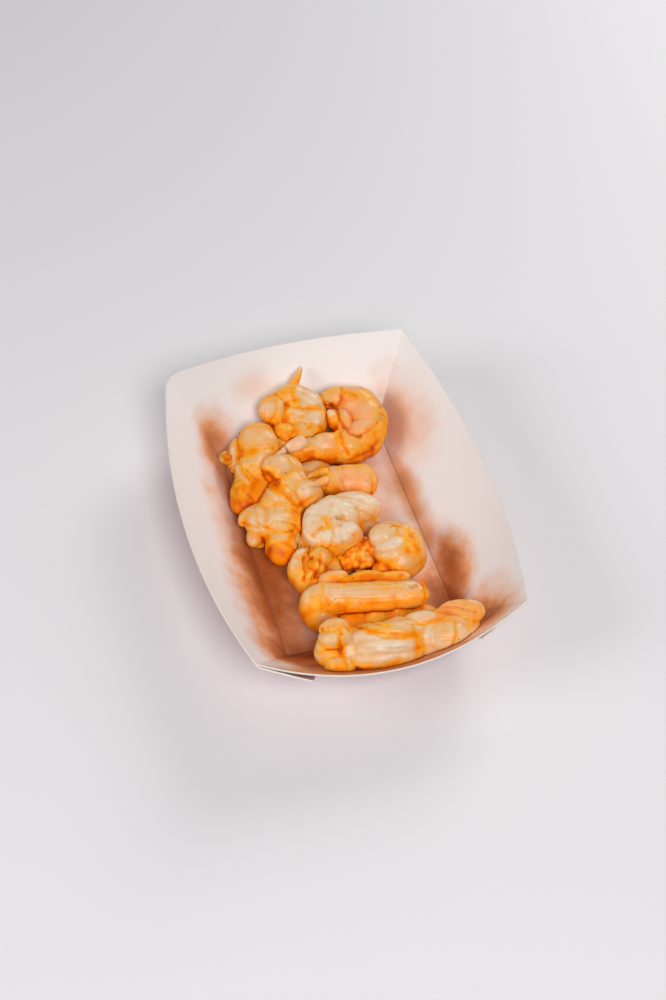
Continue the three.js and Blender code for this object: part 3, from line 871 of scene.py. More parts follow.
        stroke([(291, 388), (296, 381), (301, 373)], 1.4, sauce=0.7),
        stroke([(306, 393), (313, 396)], 2, pale=0.4),
        stroke([(286, 405), (300, 407), (321, 409)], 0.8, lift=-0.8, sauce=0.6),
        stroke([(292, 416), (304, 414), (315, 417)], 2.2, pale=0.5),
        stroke([(316, 413), (318, 422)], 1, lift=0.2, pale=0.8),
        stroke([(292, 387), (293, 400), (297, 406), (303, 411)], 1.1, sauce=0.95),
        stroke([(298, 392), (300, 397)], 0.7, lift=0.2, pale=0.7),
        stroke([(263, 401), (270, 396), (284, 393)], 1.4, sauce=0.65),
        stroke([(265, 407), (270, 409)], 1.4, pale=0.4),
        stroke([(276, 402), (276, 414), (269, 424)], 0.5, lift=-0.4, sauce=0.5),
        stroke([(285, 408), (283, 420), (288, 430)], 0.6, lift=-0.3, sauce=0.55),
        stroke([(271, 427), (283, 431), (296, 432)], 1.6, sauce=1),
        stroke([(276, 436), (288, 435)], 1.8, sauce=1),
        stroke([(310, 427), (320, 427)], 0.8, sauce=0.7),
        stroke([(312, 423), (313, 426)], 0.4, dark=0.3, sauce=0.5),
    ],
}, {
    "name": "tailMiddleRight", "node": "shrimp_middle_right",
    "start": (16.3, 13.6, 7), "heading": 164,
    "length": 15, "segments": 3, "width": 12.5, "height": 11.5, "profile": (0.95, 0.4, 0.7),
    "fill": 0.97, "warmth": 0.42, "lip": 0.2,
    "strands": [
        {"aside": 14, "length": 12, "width": 2.6, "high": 2.2},
        {"aside": -3, "length": 13, "width": 2.6, "high": 2.2},
        {"aside": -22, "length": 9, "width": 3, "high": 3},
    ],
    "folds": [
        fold((314, 471), 4.5, (6, 4, 4)),
        fold((324, 487), 5, (4, 3, 4)),
    ],
    "marks": [
        stroke([(344, 472), (358, 476), (364, 484), (348, 484)], 3, blush=0.85),
        stroke([(336, 470), (337, 478)], 1, pale=0.6),
        stroke([(364, 482), (366, 487)], 1.1, pale=0.5),
        stroke([(338, 468), (352, 466), (364, 468), (371, 473), (373, 486)], 0.4, lift=-0.3, sauce=0.5),
        stroke([(373, 486), (371, 495), (360, 494)], 0.5, lift=-0.2, sauce=0.5),
        stroke([(341, 470), (340, 480), (343, 488)], 0.35, lift=-0.25, sauce=0.3),
        stroke([(324, 468), (327, 476), (326, 483)], 1.1, sauce=1),
        stroke([(333, 490), (346, 491), (358, 492)], 0.9, sauce=0.6),
        stroke([(307, 474), (318, 472)], 0.9, pale=0.4, blush=0.4),
        stroke([(312, 482), (323, 481)], 0.9, pale=0.6, blush=0.5),
    ],
}, {
    "name": "tailSmall", "node": "shrimp_small",
    "start": (-13, -10.8, 6.5), "heading": 200, "roll": -90, "curl": 170,
    "length": 19, "segments": 4, "width": 11, "height": 7, "profile": (0.9, 0.4, 0.7),
    "fill": 0.93, "warmth": 0.45, "lip": 0.3,
    "lumps": [
        lump(0.5, (0, 0, -5), (4, 4.5, 3.5)),
        lump(0, (-2, 0, -3), (3.5, 4.5, 3)),
    ],
    "folds": [
        fold((299, 541), 5, (5, 4, 4)),
        fold((322, 556), 8, (4, 4, 4)),
        fold((334, 562), 4.5, (6, 6, 4)),
    ],
    "marks": [
        stroke([(301, 551), (294, 557), (291, 568)], 0.9, lift=0.2, pale=0.5),
        stroke([(299, 555), (297, 566), (296, 584)], 1, blush=0.3),
        stroke([(309, 551), (303, 560), (305, 572), (303, 582)], 0.6, lift=-0.8, sauce=0.9),
        stroke([(297, 556), (300, 566), (300, 582)], 0.35, lift=-0.3, sauce=0.3),
        stroke([(313, 547), (310, 556), (307, 560)], 0.45, lift=0.6, sauce=0.5),
        stroke([(312, 558), (315, 566), (313, 574)], 1.3, sauce=0.75),
        stroke([(316, 565), (318, 568)], 0.6, lift=0.3, pale=0.7),
        stroke([(312, 571), (315, 573)], 0.6, lift=0.25, pale=0.6),
        stroke([(320, 555), (321, 567), (313, 578)], 0.6, lift=-0.5, sauce=0.8),
        stroke([(325, 556), (325, 566)], 1.2, blush=0.5),
        stroke([(310, 579), (320, 577)], 0.8, sauce=0.8),
    ],
}, {
    "name": "tailHidden", "node": "shrimp_hidden",
    "start": (-8, -39.5, 6.5), "heading": -8,
    "length": 26, "segments": 4, "width": 11, "height": 11, "profile": (0.8, 0.4, 0.6),
    "fill": 0.95, "warmth": 0.62, "lip": 0.3,
    "marks": [
        stroke([(355, 607), (375, 606), (388, 606)], 2.4, sauce=0.7),
        stroke([(398, 602), (397, 609)], 1, lift=0.6, pale=0.6, blush=0.4),
        stroke([(404, 604), (412, 606)], 1.5, sauce=0.7),
    ],
}]


def spineOf(tail):
    heading, pitch, roll = (math.radians(tail.get(key, 0)) for key in ("heading", "pitch", "roll"))
    level = math.cos(pitch)
    ahead = Vector((math.cos(heading) * level, math.sin(heading) * level, math.sin(pitch)))
    level = Vector((0, 0, 1)).cross(ahead).normalized()
    back = ahead.cross(level) * math.cos(roll) + level * math.sin(roll)
    left = back.cross(ahead)
    point = Vector(tail["start"])
    bendFrom, bendTo = tail.get("bend", (0, 1))
    steps, frames = flesh["spineSteps"], []
    for i in range(steps + 1):
        frames.append((point.copy(), ahead.copy(), left.copy(), back.copy()))
        stretch = max(0, min(bendTo, (i + 1) / steps) - max(bendFrom, i / steps)) / (bendTo - bendFrom)
        curl = Quaternion(left, math.radians(tail.get("curl", 0)) * stretch)
        swerve = Quaternion(back, math.radians(tail.get("swerve", 0)) * stretch)
        ahead, left, back = (swerve @ (curl @ way) for way in (ahead, left, back))
        point = point + ahead * tail["length"] / steps
    return frames


def frameAt(frames, share):
    return frames[round(max(0, min(1, share)) * flesh["spineSteps"])]


def thickness(tail, share):
    neck, peakAt, tip = tail["profile"]
    if share < peakAt:
        return neck + (1 - neck) * math.sin(share / peakAt * math.pi / 2)
    return 1 + (tip - 1) * (1 - math.cos((share - peakAt) / (1 - peakAt) * math.pi / 2))


def lobeAt(spot, offset, size):
    # (middle, axes, half sizes) of an egg-shaped lobe, offset ahead, left and back of a spine frame
    point, *axes = spot
    middle = point + axes[0] * offset[0] + axes[1] * offset[1] + axes[2] * offset[2]
    return middle, axes, size


def coreOf(tail, frames):
    # balls in a close row fill the seams between the bands
    count, balls = tail["segments"] * flesh["coreSteps"], []
    first = 0.5 / tail["segments"]
    for i in range(count + 1):
        share = first + (1 - 2 * first) * i / count
        wide, high = (tail[key] * thickness(tail, share) / 2 * tail["fill"] for key in ("width", "height"))
        long = min(tail["length"] / tail["segments"], 0.75 * min(wide, high))
        balls.append(lobeAt(frameAt(frames, share), (0, 0, 0), (long, wide, high)))
    return balls


def lobesOf(tail, frames):
    count, bands, extras = tail["segments"], [], []
    step = tail["length"] / count
    for i in range(count):
        share = (i + 0.5) / count
        wide, high = (tail[key] * thickness(tail, share) / 2 for key in ("width", "height"))
        bands.append(lobeAt(frameAt(frames, share), (0, 0, 0), (step * flesh["bandReach"], wide, high)))
    for entry in tail.get("lumps", []):
        extras.append(lobeAt(frameAt(frames, entry["at"]), entry["offset"], entry["size"]))
    for strand in tail.get("strands", []):
        point, ahead, left, back = frameAt(frames, strand.get("at", 1))
        turn = Quaternion(left, math.radians(-strand.get("rise", 0)))
        turn = turn @ Quaternion(back, math.radians(strand.get("aside", 0)))
        tilted = (point, turn @ ahead, turn @ left, turn @ back)
        size = (strand["length"] / 2, strand["width"] / 2, strand["high"] / 2)
        extras.append(lobeAt(tilted, (strand["length"] * flesh["strandLead"], 0, 0), size))
    for entry in tail.get("folds", []):
        way = sightLine(entry["pixel"])
        point = viewEye / mm + way * ((entry["height"] - viewEye.z / mm) / way.z)
        turn = Quaternion((0, 0, 1), math.radians(entry["heading"]))
        axes = [turn @ Vector(axis) for axis in ((1, 0, 0), (0, 1, 0), (0, 0, 1))]
        extras.append((point, axes, entry["size"]))
    if "roe" in tail:
        extras += roeLobes(tail["roe"])
    return bands, extras


def roeLobes(roe):
    middle = (Vector(roe["place"]), Vector((1, 0, 0)), Vector((0, 1, 0)), Vector((0, 0, 1)))
    bumps = [lobeAt(middle, (0, 0, 0), roe["spread"])]
    goldenAngle = math.pi * (3 - math.sqrt(5))
    for i in range(roe["count"]):
        rise = 1 - 1.4 * (i + 0.5) / roe["count"]
        level = math.sqrt(1 - rise * rise)
        stir = random.uniform(-0.6, 0.6)
        turn = i * goldenAngle + stir
        way = (level * math.cos(turn), level * math.sin(turn), rise)
        size = random.uniform(*roe["radius"])
        offset = [share * reach for share, reach in zip(way, roe["spread"])]
        bumps.append(lobeAt(middle, offset, (size,) * 3))
    return bumps


def makeLobe(lobe):
    middle, axes, size = lobe
    segments, rings = flesh["lobeSegments"], flesh["lobeRings"]
    bpy.ops.mesh.primitive_uv_sphere_add(segments=segments, ring_count=rings, radius=1)
    ball = bpy.context.object
    turn = Matrix(axes).transposed().to_4x4()
    # the poles lie ahead, so that a band's rings run round the tail
    poles = Matrix.Rotation(math.pi / 2, 4, "Y")
    scale = Matrix.Diagonal((*[half * mm for half in size], 1))
    ball.matrix_world = Matrix.Translation(middle * mm) @ turn @ scale @ poles
    return ball


def levelIn(lobe, points):
    # how far the points are outside a lobe, roughly, in millimetres
    middle, axes, size = lobe
    local = (points - np.array(middle)) @ np.array([list(axis) for axis in axes]).T
    return (np.linalg.norm(local / np.array(size), axis=1) - 1) * min(size)


def neighbourMean(piece, values, rounds):
    ends = np.empty(len(piece.data.edges) * 2, np.int64)
    piece.data.edges.foreach_get("vertices", ends)
    a, b = ends[0::2], ends[1::2]
    count = np.bincount(ends, minlength=len(values)).astype(float)
    for _ in range(rounds):
        total = np.zeros_like(values)
        np.add.at(total, a, values[b])
        np.add.at(total, b, values[a])
        values = total / count
    return values


def cutBy(piece, tool, operation):
    modify(piece, "BOOLEAN", object=tool, operation=operation, solver="MANIFOLD")


roomFit = {
    "heights": (0, 0.1, 0.25, 0.5, 0.75, 1, 1.4),  # shares of the walls' height
    "inset": tray["board"] + 0.1, "floorShare": 0.985,
}


def makeRoom():
    # the space inside the tray, open upwards, that the food may fill
    heights, inset = roomFit["heights"], roomFit["inset"]
    loops = [wallLoop(height) for height in heights]
    count = len(loops[0])

    def pointAt(i, ring):
        point, out, sheet = loops[ring][i % count]
        if ring == 0:
            return Vector((point.x * roomFit["floorShare"], point.y * roomFit["floorShare"], inset)), sheet
        return point - out * inset, sheet

    room = bandOf("room", count, len(heights) - 1, pointAt)
    openMesh(room)
    bpy.ops.mesh.remove_doubles(threshold=0.01 * mm)
    bpy.ops.mesh.select_all(action="DESELECT")
    bpy.ops.mesh.select_non_manifold()
    bpy.ops.mesh.edge_face_add()
    bpy.ops.mesh.select_all(action="SELECT")
    bpy.ops.mesh.quads_convert_to_tris()
    bpy.ops.mesh.normals_make_consistent(inside=False)
    closeMesh()
    return room


def markPoints(piece, mark):
    # the line of a stroke, laid on the surface as it is seen in the picture
    bpy.context.view_layer.update()
    spots = []
    for start, stop in zip(mark["line"], mark["line"][1:]):
        reach = math.dist(start, stop)
        steps = max(1, round(reach / flesh["markStep"]))
        for i in range(steps + 1):
            pixel = between(start, stop, i / steps)
            hit, spot, normal, face = piece.ray_cast(viewEye, sightLine(pixel))
            if hit:
                spots.append(spot / mm)
    return np.array(spots) if spots else None


def closeness(points, spots, wide, sharp=2):
    # 1 on the line of a stroke, falling away within about two widths
    nearest = np.full(len(points), 1e9)
    for spot in spots:
        nearest = np.minimum(nearest, ((points - spot) ** 2).sum(1))
    return np.exp(-(np.sqrt(nearest) / wide) ** sharp)


def spineShares(frames, points):
    # how far along the spine each point lies, and where it is round it
    spine = np.array([list(spot[0]) for spot in frames])
    nearest = np.argmin(((points[:, None, :] - spine[None]) ** 2).sum(2), axis=1)
    ways = np.array([[list(way) for way in spot[1:]] for spot in frames])
    local = ((points - spine[nearest])[:, None, :] * ways[nearest]).sum(2)
    local[:, 0] += nearest * np.linalg.norm(spine[1] - spine[0])
    return local


def creases(points, local):
    # 1 in thin grooves that wander over the flesh
    wave = softNoise(local * (flesh["creaseStretch"], 1, 1) + 40, flesh["creaseSize"])
    fade = np.clip(softNoise(points + 90, flesh["creaseFade"]) * 1.5 + 0.5, 0, 1)
    return np.exp(-(wave / flesh["creaseWide"]) ** 2) * fade


def bandEdges(tail, points, local):
    # each band thickens towards its free edge and then steps down to the next
    slant = np.cos(np.arctan2(local[:, 1], local[:, 2])) * flesh["lipSlant"]
    slant = slant + softNoise(points, flesh["lipStraySize"]) * flesh["lipStray"]
    phase = (local[:, 0] / (tail["length"] / tail["segments"]) + slant) % 1
    edge = np.clip(phase / flesh["lipRise"], 0, 1) ** 3 * np.clip((1 - phase) / 0.1, 0, 1)
    return edge, np.exp(-((phase - flesh["lipAt"]) / flesh["lipWide"]) ** 2)


def shapeTail(tail, room, cutters):
    frames = spineOf(tail)
    bands, extras = lobesOf(tail, frames)
    lobes = bands + extras + coreOf(tail, frames)
    piece = joinAll([makeLobe(lobe) for lobe in lobes], tail["name"])
    modify(piece, "REMESH", mode="VOXEL", voxel_size=flesh["voxel"] * mm)
    modify(piece, "SMOOTH", factor=0.5, iterations=flesh["softening"])
    points, normals = readPoints(piece), readNormals(piece)
    points += normals * (softNoise(points, flesh["swellSize"]) * flesh["swell"])[:, None]
    writePoints(piece, points)
    traces = [(mark, markPoints(piece, mark)) for mark in tail["marks"]]
    cutBy(piece, room, "INTERSECT")
    for cutter in cutters:
        if boxesMeet(piece, cutter):
            cutBy(piece, cutter, "DIFFERENCE")
    keepLargest(piece)
    modify(piece, "REMESH", mode="VOXEL", voxel_size=flesh["voxel"] * mm)
    modify(piece, "SMOOTH", factor=0.5, iterations=flesh["lastSoftening"])
    # the fine relief comes last, so that it stays crisp
    points, normals = readPoints(piece), readNormals(piece)
    levels = np.array([levelIn(lobe, points) for lobe in bands + extras])
    onBand = levels[:len(bands)].min(0) < (levels[len(bands):].min(0) if extras else 1e9)
    ordered = np.sort(levels, axis=0)
    local = spineShares(frames, points)
    edge, groove = bandEdges(tail, points, local)
    lift = -flesh["seamDeep"] * np.exp(-((ordered[1] - ordered[0]) / flesh["seamWide"]) ** 2)
    lift += flesh["lip"] * tail["lip"] * (edge - flesh["lipGroove"] * groove) * onBand
    lift += softNoise(points, flesh["pimpleSize"]) * flesh["pimple"]
    lift += softNoise(local * (flesh["threadStretch"], 1, 1), flesh["threadSize"]) * flesh["thread"]
    lift -= creases(points, local) * flesh["crease"]
    for mark, spots in traces:
        if spots is not None and "lift" in mark:
            lift += mark["lift"] * closeness(points, spots, mark["wide"])
    writePoints(piece, points + normals * lift[:, None])
    modify(piece, "SMOOTH", factor=0.5, iterations=1)
    return piece, frames, traces, groove * onBand * tail["lip"]


def boxesMeet(one, other):
    a, b = readPoints(one), readPoints(other)
    return bool(np.all(a.min(0) < b.max(0)) and np.all(b.min(0) < a.max(0)))


def keepLargest(piece):
    openMesh(piece)
    bpy.ops.mesh.separate(type="LOOSE")
    closeMesh()
    bits = sorted(bpy.context.selected_objects, key=lambda bit: -len(bit.data.vertices))
    for bit in bits:
        if bit is not piece and len(bit.data.vertices) > len(piece.data.vertices):
            piece.data = bit.data
    for bit in bits:
        if bit is not piece:
            bpy.data.objects.remove(bit)


def grownCopy(piece, reach):
    copy = copyOf(piece)
    modify(copy, "DISPLACE", strength=reach * mm, mid_level=0)
    return copy


def touches(points, piece, pieces, trees, boxes):
    # 1 where a tail lies against another or the tray's floor
    reach = flesh["touchReach"]
    nearest = np.minimum(np.full(len(points), reach), np.abs(points[:, 2] - tray["board"]))
    for other, tree, (low, high) in zip(pieces, trees, boxes):
        if other is piece:
            continue
        close = np.where(np.all((points > low - reach) & (points < high + reach), axis=1))[0]
        for i in close:
            found = tree.find_nearest(Vector(points[i]) * mm, reach * mm)
            if found[0] is not None:
                nearest[i] = min(nearest[i], found[3] / mm)
    return (1 - nearest / reach) ** 1.5


def sunken(piece, points, normals, rounds):
    # how far each point lies below the piece's smoothed form, in millimetres
    copy = copyOf(piece)
    modify(copy, "SMOOTH", factor=0.5, iterations=rounds)
    smooth = readPoints(copy)
    bpy.data.objects.remove(copy)
    return ((smooth - points) * normals).sum(1)


# What warms the colour of the flesh, from cream at 0 to deep orange at 1: sauce and tone, and painted shade
# in hollows, valleys and contacts, on the sides and on the undersides
warmingAndShade = {
    "ground": -0.3, "hollow": 0.14, "valley": 0.46, "flankShade": 0.28, "touch": 0.34,
    "sauce": 0.5, "pale": 0.3, "below": 0.12, "groove": 0.1,
    "cloud": 0.12, "cloudSize": 6, "mottle": 0.05, "mottleSize": 2.3, "softening": 3,
    "hollowRounds": 48, "hollowDeep": 0.45, "valleyRounds": 200, "valleyFrom": 0.8, "valleyDeep": 1.3,
    "ragged": 0.7, "raggedSize": 1.6, "markGrowth": 1.15, "markSharp": 1.5,
}


def paintTail(piece, tail, frames, traces, grooves, touch):
    points, normals = readPoints(piece), readNormals(piece)
    local = spineShares(frames, points)
    # Painted shade: hollows, broad valleys and places where tails touch get a warmer, darker orange, as shade
    # falls there; in part this also stands for sauce that pools in them.
    hollow = sunken(piece, points, normals, warmingAndShade["hollowRounds"]) / warmingAndShade["hollowDeep"]
    valley = sunken(piece, points, normals, warmingAndShade["valleyRounds"]) + warmingAndShade["valleyFrom"]
    hollow, valley = np.clip(hollow, -0.6, 1), np.clip(valley / warmingAndShade["valleyDeep"], 0, 1.2)
    # Painted shade: sides that turn away from the top, undersides and flesh low near the floor (below) get a
    # warmer, darker orange.
    flankShade = np.clip(0.78 - normals[:, 2], 0, 1.2)
    below = np.clip(0.15 - normals[:, 2], 0, 1) + np.clip(1 - points[:, 2] / 7, 0, 1) * 0.6
    stray = [softNoise(points + 30 * i, warmingAndShade["raggedSize"]) for i in range(3)]
    ragged = points + np.stack(stray, 1) * warmingAndShade["ragged"]
    marks = {look: np.zeros(len(points)) for look in ("sauce", "pale", "blush", "dark")}
    for mark, spots in traces:
        looks = [look for look in marks if look in mark]
        if spots is None or not looks:
            continue
        near = closeness(ragged, spots, mark["wide"] * warmingAndShade["markGrowth"], warmingAndShade["markSharp"])
        for look in looks:
            marks[look] = np.maximum(marks[look], mark[look] * near)
    warmth = tail["warmth"] + warmingAndShade["ground"]
    for key, share in (("hollow", hollow), ("valley", valley), ("flankShade", flankShade), ("touch", touch)):
        warmth = warmth + share * warmingAndShade[key]
    # pale marks cool the colour towards cream: pale flesh, and painted highlights
    warmth = warmth + (marks["sauce"] * warmingAndShade["sauce"] - marks["pale"] * warmingAndShade["pale"]
                       + below * warmingAndShade["below"] + grooves * warmingAndShade["groove"])
    warmth += (softNoise(points, warmingAndShade["cloudSize"]) * warmingAndShade["cloud"]
               + softNoise(points, warmingAndShade["mottleSize"]) * warmingAndShade["mottle"])
    writeMask(piece, "warmth", neighbourMean(piece, warmth, warmingAndShade["softening"]))
    writeMask(piece, "blush", marks["blush"])
    writeMask(piece, "dark", marks["dark"])
    writeVectors(piece, "fibre", local)


fleshLook = {
    "fleck": 0.14, "speckle": 0.08, "cloud": 0.14, "threads": 0.12,  # how far each grain stirs the colour
    "pool": 0.1, "poolFleck": 0.5, "poolCloud": 0.3, "poolEdge": (0.42, 0.64),
    "yellow": 0.5, "yellowEdge": (0.44, 0.62), "yellowFrom": (0.26, 0.5), "yellowTo": (0.6, 0.9),
    "pink": 0.75, "pinkFleck": 0.4, "pinkEdge": (0.1, 0.95), "dark": 0.85,
    "wet": 0.3, "wetLoss": 0.26, "wetEdge": (0.35, 0.6),
    "relief": 0.16,  # millimetres
}


def fleshFinish():
    look = fleshLook
    finish = Finish("boiledFlesh", Specular_IOR_Level=0.1, Roughness=0.44, Coat_Roughness=0.19,
                    Subsurface_Weight=0.5, Subsurface_Scale=0.0022, Subsurface_Radius=(1.0, 0.45, 0.18))
    place = finish.place()
    warmth, blush, dark = (finish.mask(name) for name in ("warmth", "blush", "dark"))
    fleck, speckle = finish.grain(place, 1.3, 4, 0.6), finish.grain(place, 0.45, 3, 0.6)
    cloud = finish.grain(place, 4, 3)
    stretch = {"Vector": finish.vectors("fibre"), "Scale": (0.0003, 0.0013, 0.0013)}
    threads = finish.grain(finish.node("Mapping", None, stretch), 1.0, 4, 0.6)
    heat = warmth
    for grain, key in ((fleck, "fleck"), (speckle, "speckle"), (cloud, "cloud"), (threads, "threads")):
        heat = heat + (grain - 0.5) * look[key]
    pool = warmth + (fleck - 0.5) * look["poolFleck"] + (cloud - 0.5) * look["poolCloud"]
    heat = heat + finish.step(pool, *look["poolEdge"]) * look["pool"]
    # the warmth mask carries painted shade as well as sauce, so the deep end of this ramp is partly shade
    colour = finish.node("ValToRGB", {"stops": [
        (0.02, paint(230, 205, 175)), (0.2, paint(230, 186, 136)), (0.36, paint(237, 170, 86)),
        (0.52, paint(250, 161, 30)), (0.74, paint(246, 139, 2)), (0.92, paint(226, 106, 0)),
        (1, paint(199, 80, 0)),
    ]}, {"Fac": heat})
    yellow = finish.step(finish.grain(place, 7, 3), *look["yellowEdge"])
    yellow = yellow * (1 - finish.step(heat, *look["yellowTo"])) * look["yellow"]
    yellow = yellow * finish.step(heat, *look["yellowFrom"])
    colour = finish.blend(yellow, colour, paint(250, 192, 72))
    pink = finish.step(blush + (fleck - 0.5) * look["pinkFleck"], *look["pinkEdge"]) * look["pink"]
    colour = finish.blend(pink, colour, paint(247, 172, 122))
    # dark marks paint shade into pits and holes
    colour = finish.blend(dark * look["dark"], colour, paint(84, 26, 8))
    wet = look["wet"] - finish.step(heat, *look["wetEdge"]) * look["wetLoss"]
    finish.set({"Base_Color": colour, "Coat_Weight": wet})
    finish.bump(threads * 0.7 + fleck * 0.5 + speckle * 0.3, look["relief"])
    return finish


room = makeRoom()
fleshMaterial = fleshFinish()
cutters, shrimps, shaped = [], [], []
for tail in tails:
    piece, frames, traces, grooves = shapeTail(tail, room, cutters)
    cutters.append(grownCopy(piece, flesh["gap"]))
    piece.data.materials.clear()
    piece.data.materials.append(fleshMaterial.material)
    shadeSmooth(piece)
    shrimps.append(piece)
    shaped.append((tail, piece, frames, traces, grooves))
    print(tail["name"], "is shaped,", len(piece.data.polygons), "faces")
for tool in (room, *cutters):
    bpy.data.objects.remove(tool)
bpy.context.view_layer.update()
trees = [BVHTree.FromObject(piece, bpy.context.evaluated_depsgraph_get()) for piece in shrimps]
boxes = [(readPoints(piece).min(0), readPoints(piece).max(0)) for piece in shrimps]
for tail, piece, frames, traces, grooves in shaped:
    touch = touches(readPoints(piece), piece, shrimps, trees, boxes)
    paintTail(piece, tail, frames, traces, grooves, touch)
    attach(piece, "root")
    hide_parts(tail["node"])
print("tails are coloured")


# Frills, sauce bits and specks lie on what is seen at their pixels. A frill is so wide at its start and
# at its end, and so high, in millimetres
def frillLine(line, wide, high, warmth, blush=0):
    return {"line": line, "wide": wide, "high": high, "warmth": warmth, "blush": blush}


frills = [
    frillLine([(308, 439), (291, 447), (268, 460)], (3.6, 0.5), 1.6, 0.12, 0.45),
    frillLine([(331, 470), (318, 473), (303, 479)], (1.9, 0.9), 1.3, 0.5, 0.2),
    frillLine([(332, 478), (320, 482), (307, 488)], (1.8, 0.9), 1.3, 0.3, 0.4),
    frillLine([(378, 412), (384, 415), (390, 419)], (0.7, 0.15), 0.4, 0.6),
    frillLine([(379, 409), (383, 404)], (0.5, 0.15), 0.4, 0.6),
    frillLine([(378, 416), (386, 421)], (0.5, 0.15), 0.4, 0.5),
    frillLine([(233, 457), (227, 457), (220, 453)], (1.4, 0.3), 1.0, 0.7),
    frillLine([(233, 462), (227, 463), (222, 461)], (1.2, 0.3), 0.9, 0.6),
    frillLine([(235, 467), (229, 470)], (1.0, 0.3), 0.8, 0.65),
    frillLine([(313, 545), (310, 552), (307, 560)], (0.4, 0.2), 0.35, 0.75),
    frillLine([(301, 543), (306, 548), (313, 550)], (0.5, 0.2), 0.4, 0.7),
    frillLine([(321, 549), (315, 557), (314, 564)], (0.5, 0.25), 0.4, 0.5),
    frillLine([(299, 533), (296, 540), (300, 546)], (0.8, 0.3), 0.6, 0.35),
    frillLine([(421, 579), (425, 586), (424, 594)], (0.9, 0.5), 0.7, 0.7),
    frillLine([(388, 528), (396, 524), (405, 526)], (0.5, 0.2), 0.4, 0.5),
    frillLine([(240, 485), (236, 492), (238, 500)], (0.6, 0.3), 0.5, 0.6),
]
crumbs = {
    "bits": 170, "bitSize": (0.15, 0.42), "bitStray": 2.2,  # pixels off the line of a sauce mark
    "specks": 46, "speckSize": (0.1, 0.24), "speckArea": ((225, 470), (385, 670)),  # pixels
    "speckSpots": [(286, 473), (265, 440), (343, 468), (345, 476), (366, 481), (297, 426), (340, 520),
                   (427, 586), (266, 574), (331, 520), (318, 512), (258, 470), (302, 489)],
    "sauceFrom": 0.55,  # bits lie along strokes with more sauce than this
}


def landing(pixel):
    # the spot, normal and piece that are seen at a pixel
    best = None
    for piece in [*shrimps, trayPiece]:
        hit, spot, normal, face = piece.ray_cast(viewEye, sightLine(pixel))
        if hit and (best is None or (spot - viewEye).length < (best[0] - viewEye).length):
            best = (spot, normal, piece)
    return best


frillShape = {
    "steps": 8, "drop": 1.2,  # how far a frill may lie behind the nearest quarter of its line, in millimetres
    "segments": 10, "rings": 26, "tip": 0.4, "stirSize": 1.5, "stir": 0.15,
}


def makeFrill(frill):
    steps, eye = frillShape["steps"], viewEye / mm
    spots = []
    for start, stop in zip(frill["line"], frill["line"][1:]):
        spots += [landing(between(start, stop, i / steps))[0] / mm for i in range(steps)]
    depths = [(spot - eye).length for spot in spots]
    limit = sorted(depths)[len(depths) // 4] + frillShape["drop"]
    # a frill doesn't fall into the gaps it crosses
    laid = [eye + (spot - eye).normalized() * min(depth, limit) for spot, depth in zip(spots, depths)]
    windows = [laid[max(0, i - 2):i + 3] for i in range(len(laid))]
    line = [sum(window, Vector()) / len(window) for window in windows]
    bpy.ops.mesh.primitive_uv_sphere_add(
        segments=frillShape["segments"], ring_count=frillShape["rings"], radius=1)
    blade = bpy.context.object
    up = viewBack()
    points, where = readPoints(blade) * mm, []
    for x, y, z in points:
        share = (1 - z) / 2 * (len(line) - 1)
        i = min(int(share), len(line) - 2)
        middle = line[i].lerp(line[i + 1], share - i)
        ahead = (line[i + 1] - line[i]).normalized()
        side = ahead.cross(up).normalized()
        rise = side.cross(ahead)
        wide = frill["wide"][0] + (frill["wide"][1] - frill["wide"][0]) * (1 - z) / 2
        thick = frill["high"] * (frillShape["tip"] + (1 - frillShape["tip"]) * (1 + z) / 2)
        where.append(list(middle + side * x * wide + rise * (y * thick + thick * 0.5)))
    where = np.array(where)
    writePoints(blade, where)
    stir = softNoise(where, frillShape["stirSize"]) * frillShape["stir"]
    writeMask(blade, "warmth", frill["warmth"] + stir)
    writeMask(blade, "blush", np.full(len(where), float(frill["blush"])))
    writeMask(blade, "dark", np.zeros(len(where)))
    writeVectors(blade, "fibre", points * (2, 2, 8))
    return blade


def makeBits(name, places, sizes, flat):
    # small uneven grains, each turned another way
    grains = []
    for spot, normal in places:
        bpy.ops.mesh.primitive_ico_sphere_add(subdivisions=1, radius=1)
        grain = bpy.context.object
        size = random.uniform(*sizes)
        for vertex in grain.data.vertices:
            vertex.co *= size * mm * random.uniform(0.7, 1.25)
            vertex.co.z *= flat
        turn = normal.to_track_quat("Z", "Y") @ Quaternion((0, 0, 1), random.uniform(0, 6.28))
        above = normal * size * mm * flat * 0.4
        grain.matrix_world = Matrix.Translation(spot + above) @ turn.to_matrix().to_4x4()
        grains.append(grain)
    piece = joinAll(grains, name)
    shadeSmooth(piece)
    return piece


def bitFinish(name, light, dark, roughness):
    finish = Finish(name, Roughness=roughness, Specular_IOR_Level=0.4)
    fleck = finish.grain(finish.place(), 1.2, 3, 0.6)
    finish.set({"Base_Color": finish.blend(finish.step(fleck, 0.35, 0.65), light, dark)})
    return finish


def scatter(places, count, drawPixel):
    # more places on the food, until there are enough
    while len(places) < count:
        found = landing(drawPixel())
        if found and found[2] is not trayPiece:
            places.append(found[:2])
    return places


sauceLines = [mark["line"] for tail in tails for mark in tail["marks"]
              if mark.get("sauce", 0) > crumbs["sauceFrom"]]


def saucePixel():
    line = random.choice(sauceLines)
    i = random.randrange(len(line) - 1)
    share = random.random()
    return [a + (b - a) * share + random.gauss(0, crumbs["bitStray"]) for a, b in zip(line[i], line[i + 1])]


def speckPixel():
    return [random.uniform(*span) for span in crumbs["speckArea"]]


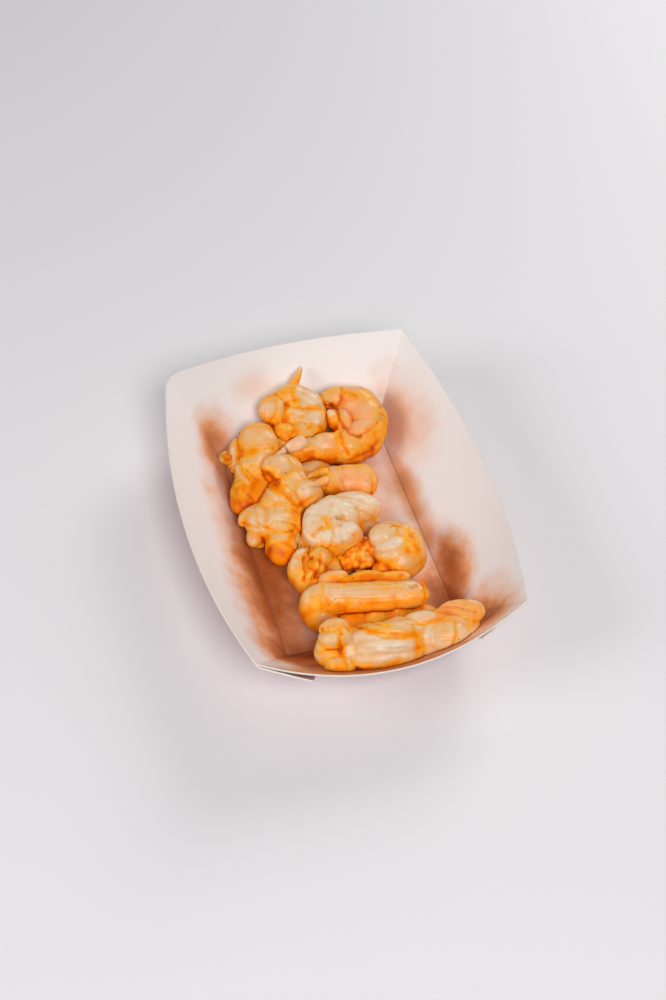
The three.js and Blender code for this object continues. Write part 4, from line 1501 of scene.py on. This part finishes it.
frillPiece = joinAll([makeFrill(frill) for frill in frills], "fleshFrills")
frillPiece.data.materials.append(fleshMaterial.material)
shadeSmooth(frillPiece)
bitPlaces = scatter([], crumbs["bits"], saucePixel)
sauceBits = makeBits("sauceBits", bitPlaces, crumbs["bitSize"], 0.7)
curd = bitFinish("sauceCurd", paint(244, 160, 44), paint(234, 116, 12), 0.4)
sauceBits.data.materials.append(curd.material)
speckPlaces = [landing(pixel)[:2] for pixel in crumbs["speckSpots"]]
speckPlaces = scatter(speckPlaces, crumbs["specks"], speckPixel)
specks = makeBits("pepperSpecks", speckPlaces, crumbs["speckSize"], 0.5)
pepper = bitFinish("pepper", paint(92, 52, 22), paint(46, 26, 14), 0.6)
specks.data.materials.append(pepper.material)
for piece in (frillPiece, sauceBits, specks):
    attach(piece, "root")
print("frills, bits and specks lie on the tails")


# Table and light
light = {
    "away": 1.0, "size": 0.45,  # metres
    "lamps": [("leftLamp", 270, 30, 4.0), ("backRightLamp", 45, 30, 4.6), ("frontLamp", 180, 50, 6.9)],
    "sky": 0.07,
}


def makeStage():
    bpy.ops.mesh.primitive_plane_add(size=3, location=(0, 0, 0))
    table = bpy.context.object
    table.name = "table"
    finish = Finish("paleTable", Roughness=0.55, Base_Color=paint(226, 224, 226))
    table.data.materials.append(finish.material)


def makeLamp(name, azimuth, elevation, power):
    azimuth, elevation = math.radians(azimuth), math.radians(elevation)
    level = math.cos(elevation)
    way = Vector((math.sin(azimuth) * level, math.cos(azimuth) * level, math.sin(elevation)))
    lamp = bpy.data.lights.new(name, "AREA")
    lamp.size = light["size"]
    lamp.energy = power
    holder = bpy.data.objects.new(name, lamp)
    bpy.context.scene.collection.objects.link(holder)
    holder.location = way * light["away"]
    holder.rotation_mode = "QUATERNION"
    holder.rotation_quaternion = way.to_track_quat("Z", "Y")


makeStage()
for lampSettings in light["lamps"]:
    makeLamp(*lampSettings)
world = bpy.data.worlds.new("softSky")
world.use_nodes = True
sky = world.node_tree.nodes["Background"]
sky.inputs["Color"].default_value = (1, 1, 1, 1)
sky.inputs["Strength"].default_value = light["sky"]
bpy.context.scene.world = world
bpy.context.scene.view_settings.view_transform = "Standard"
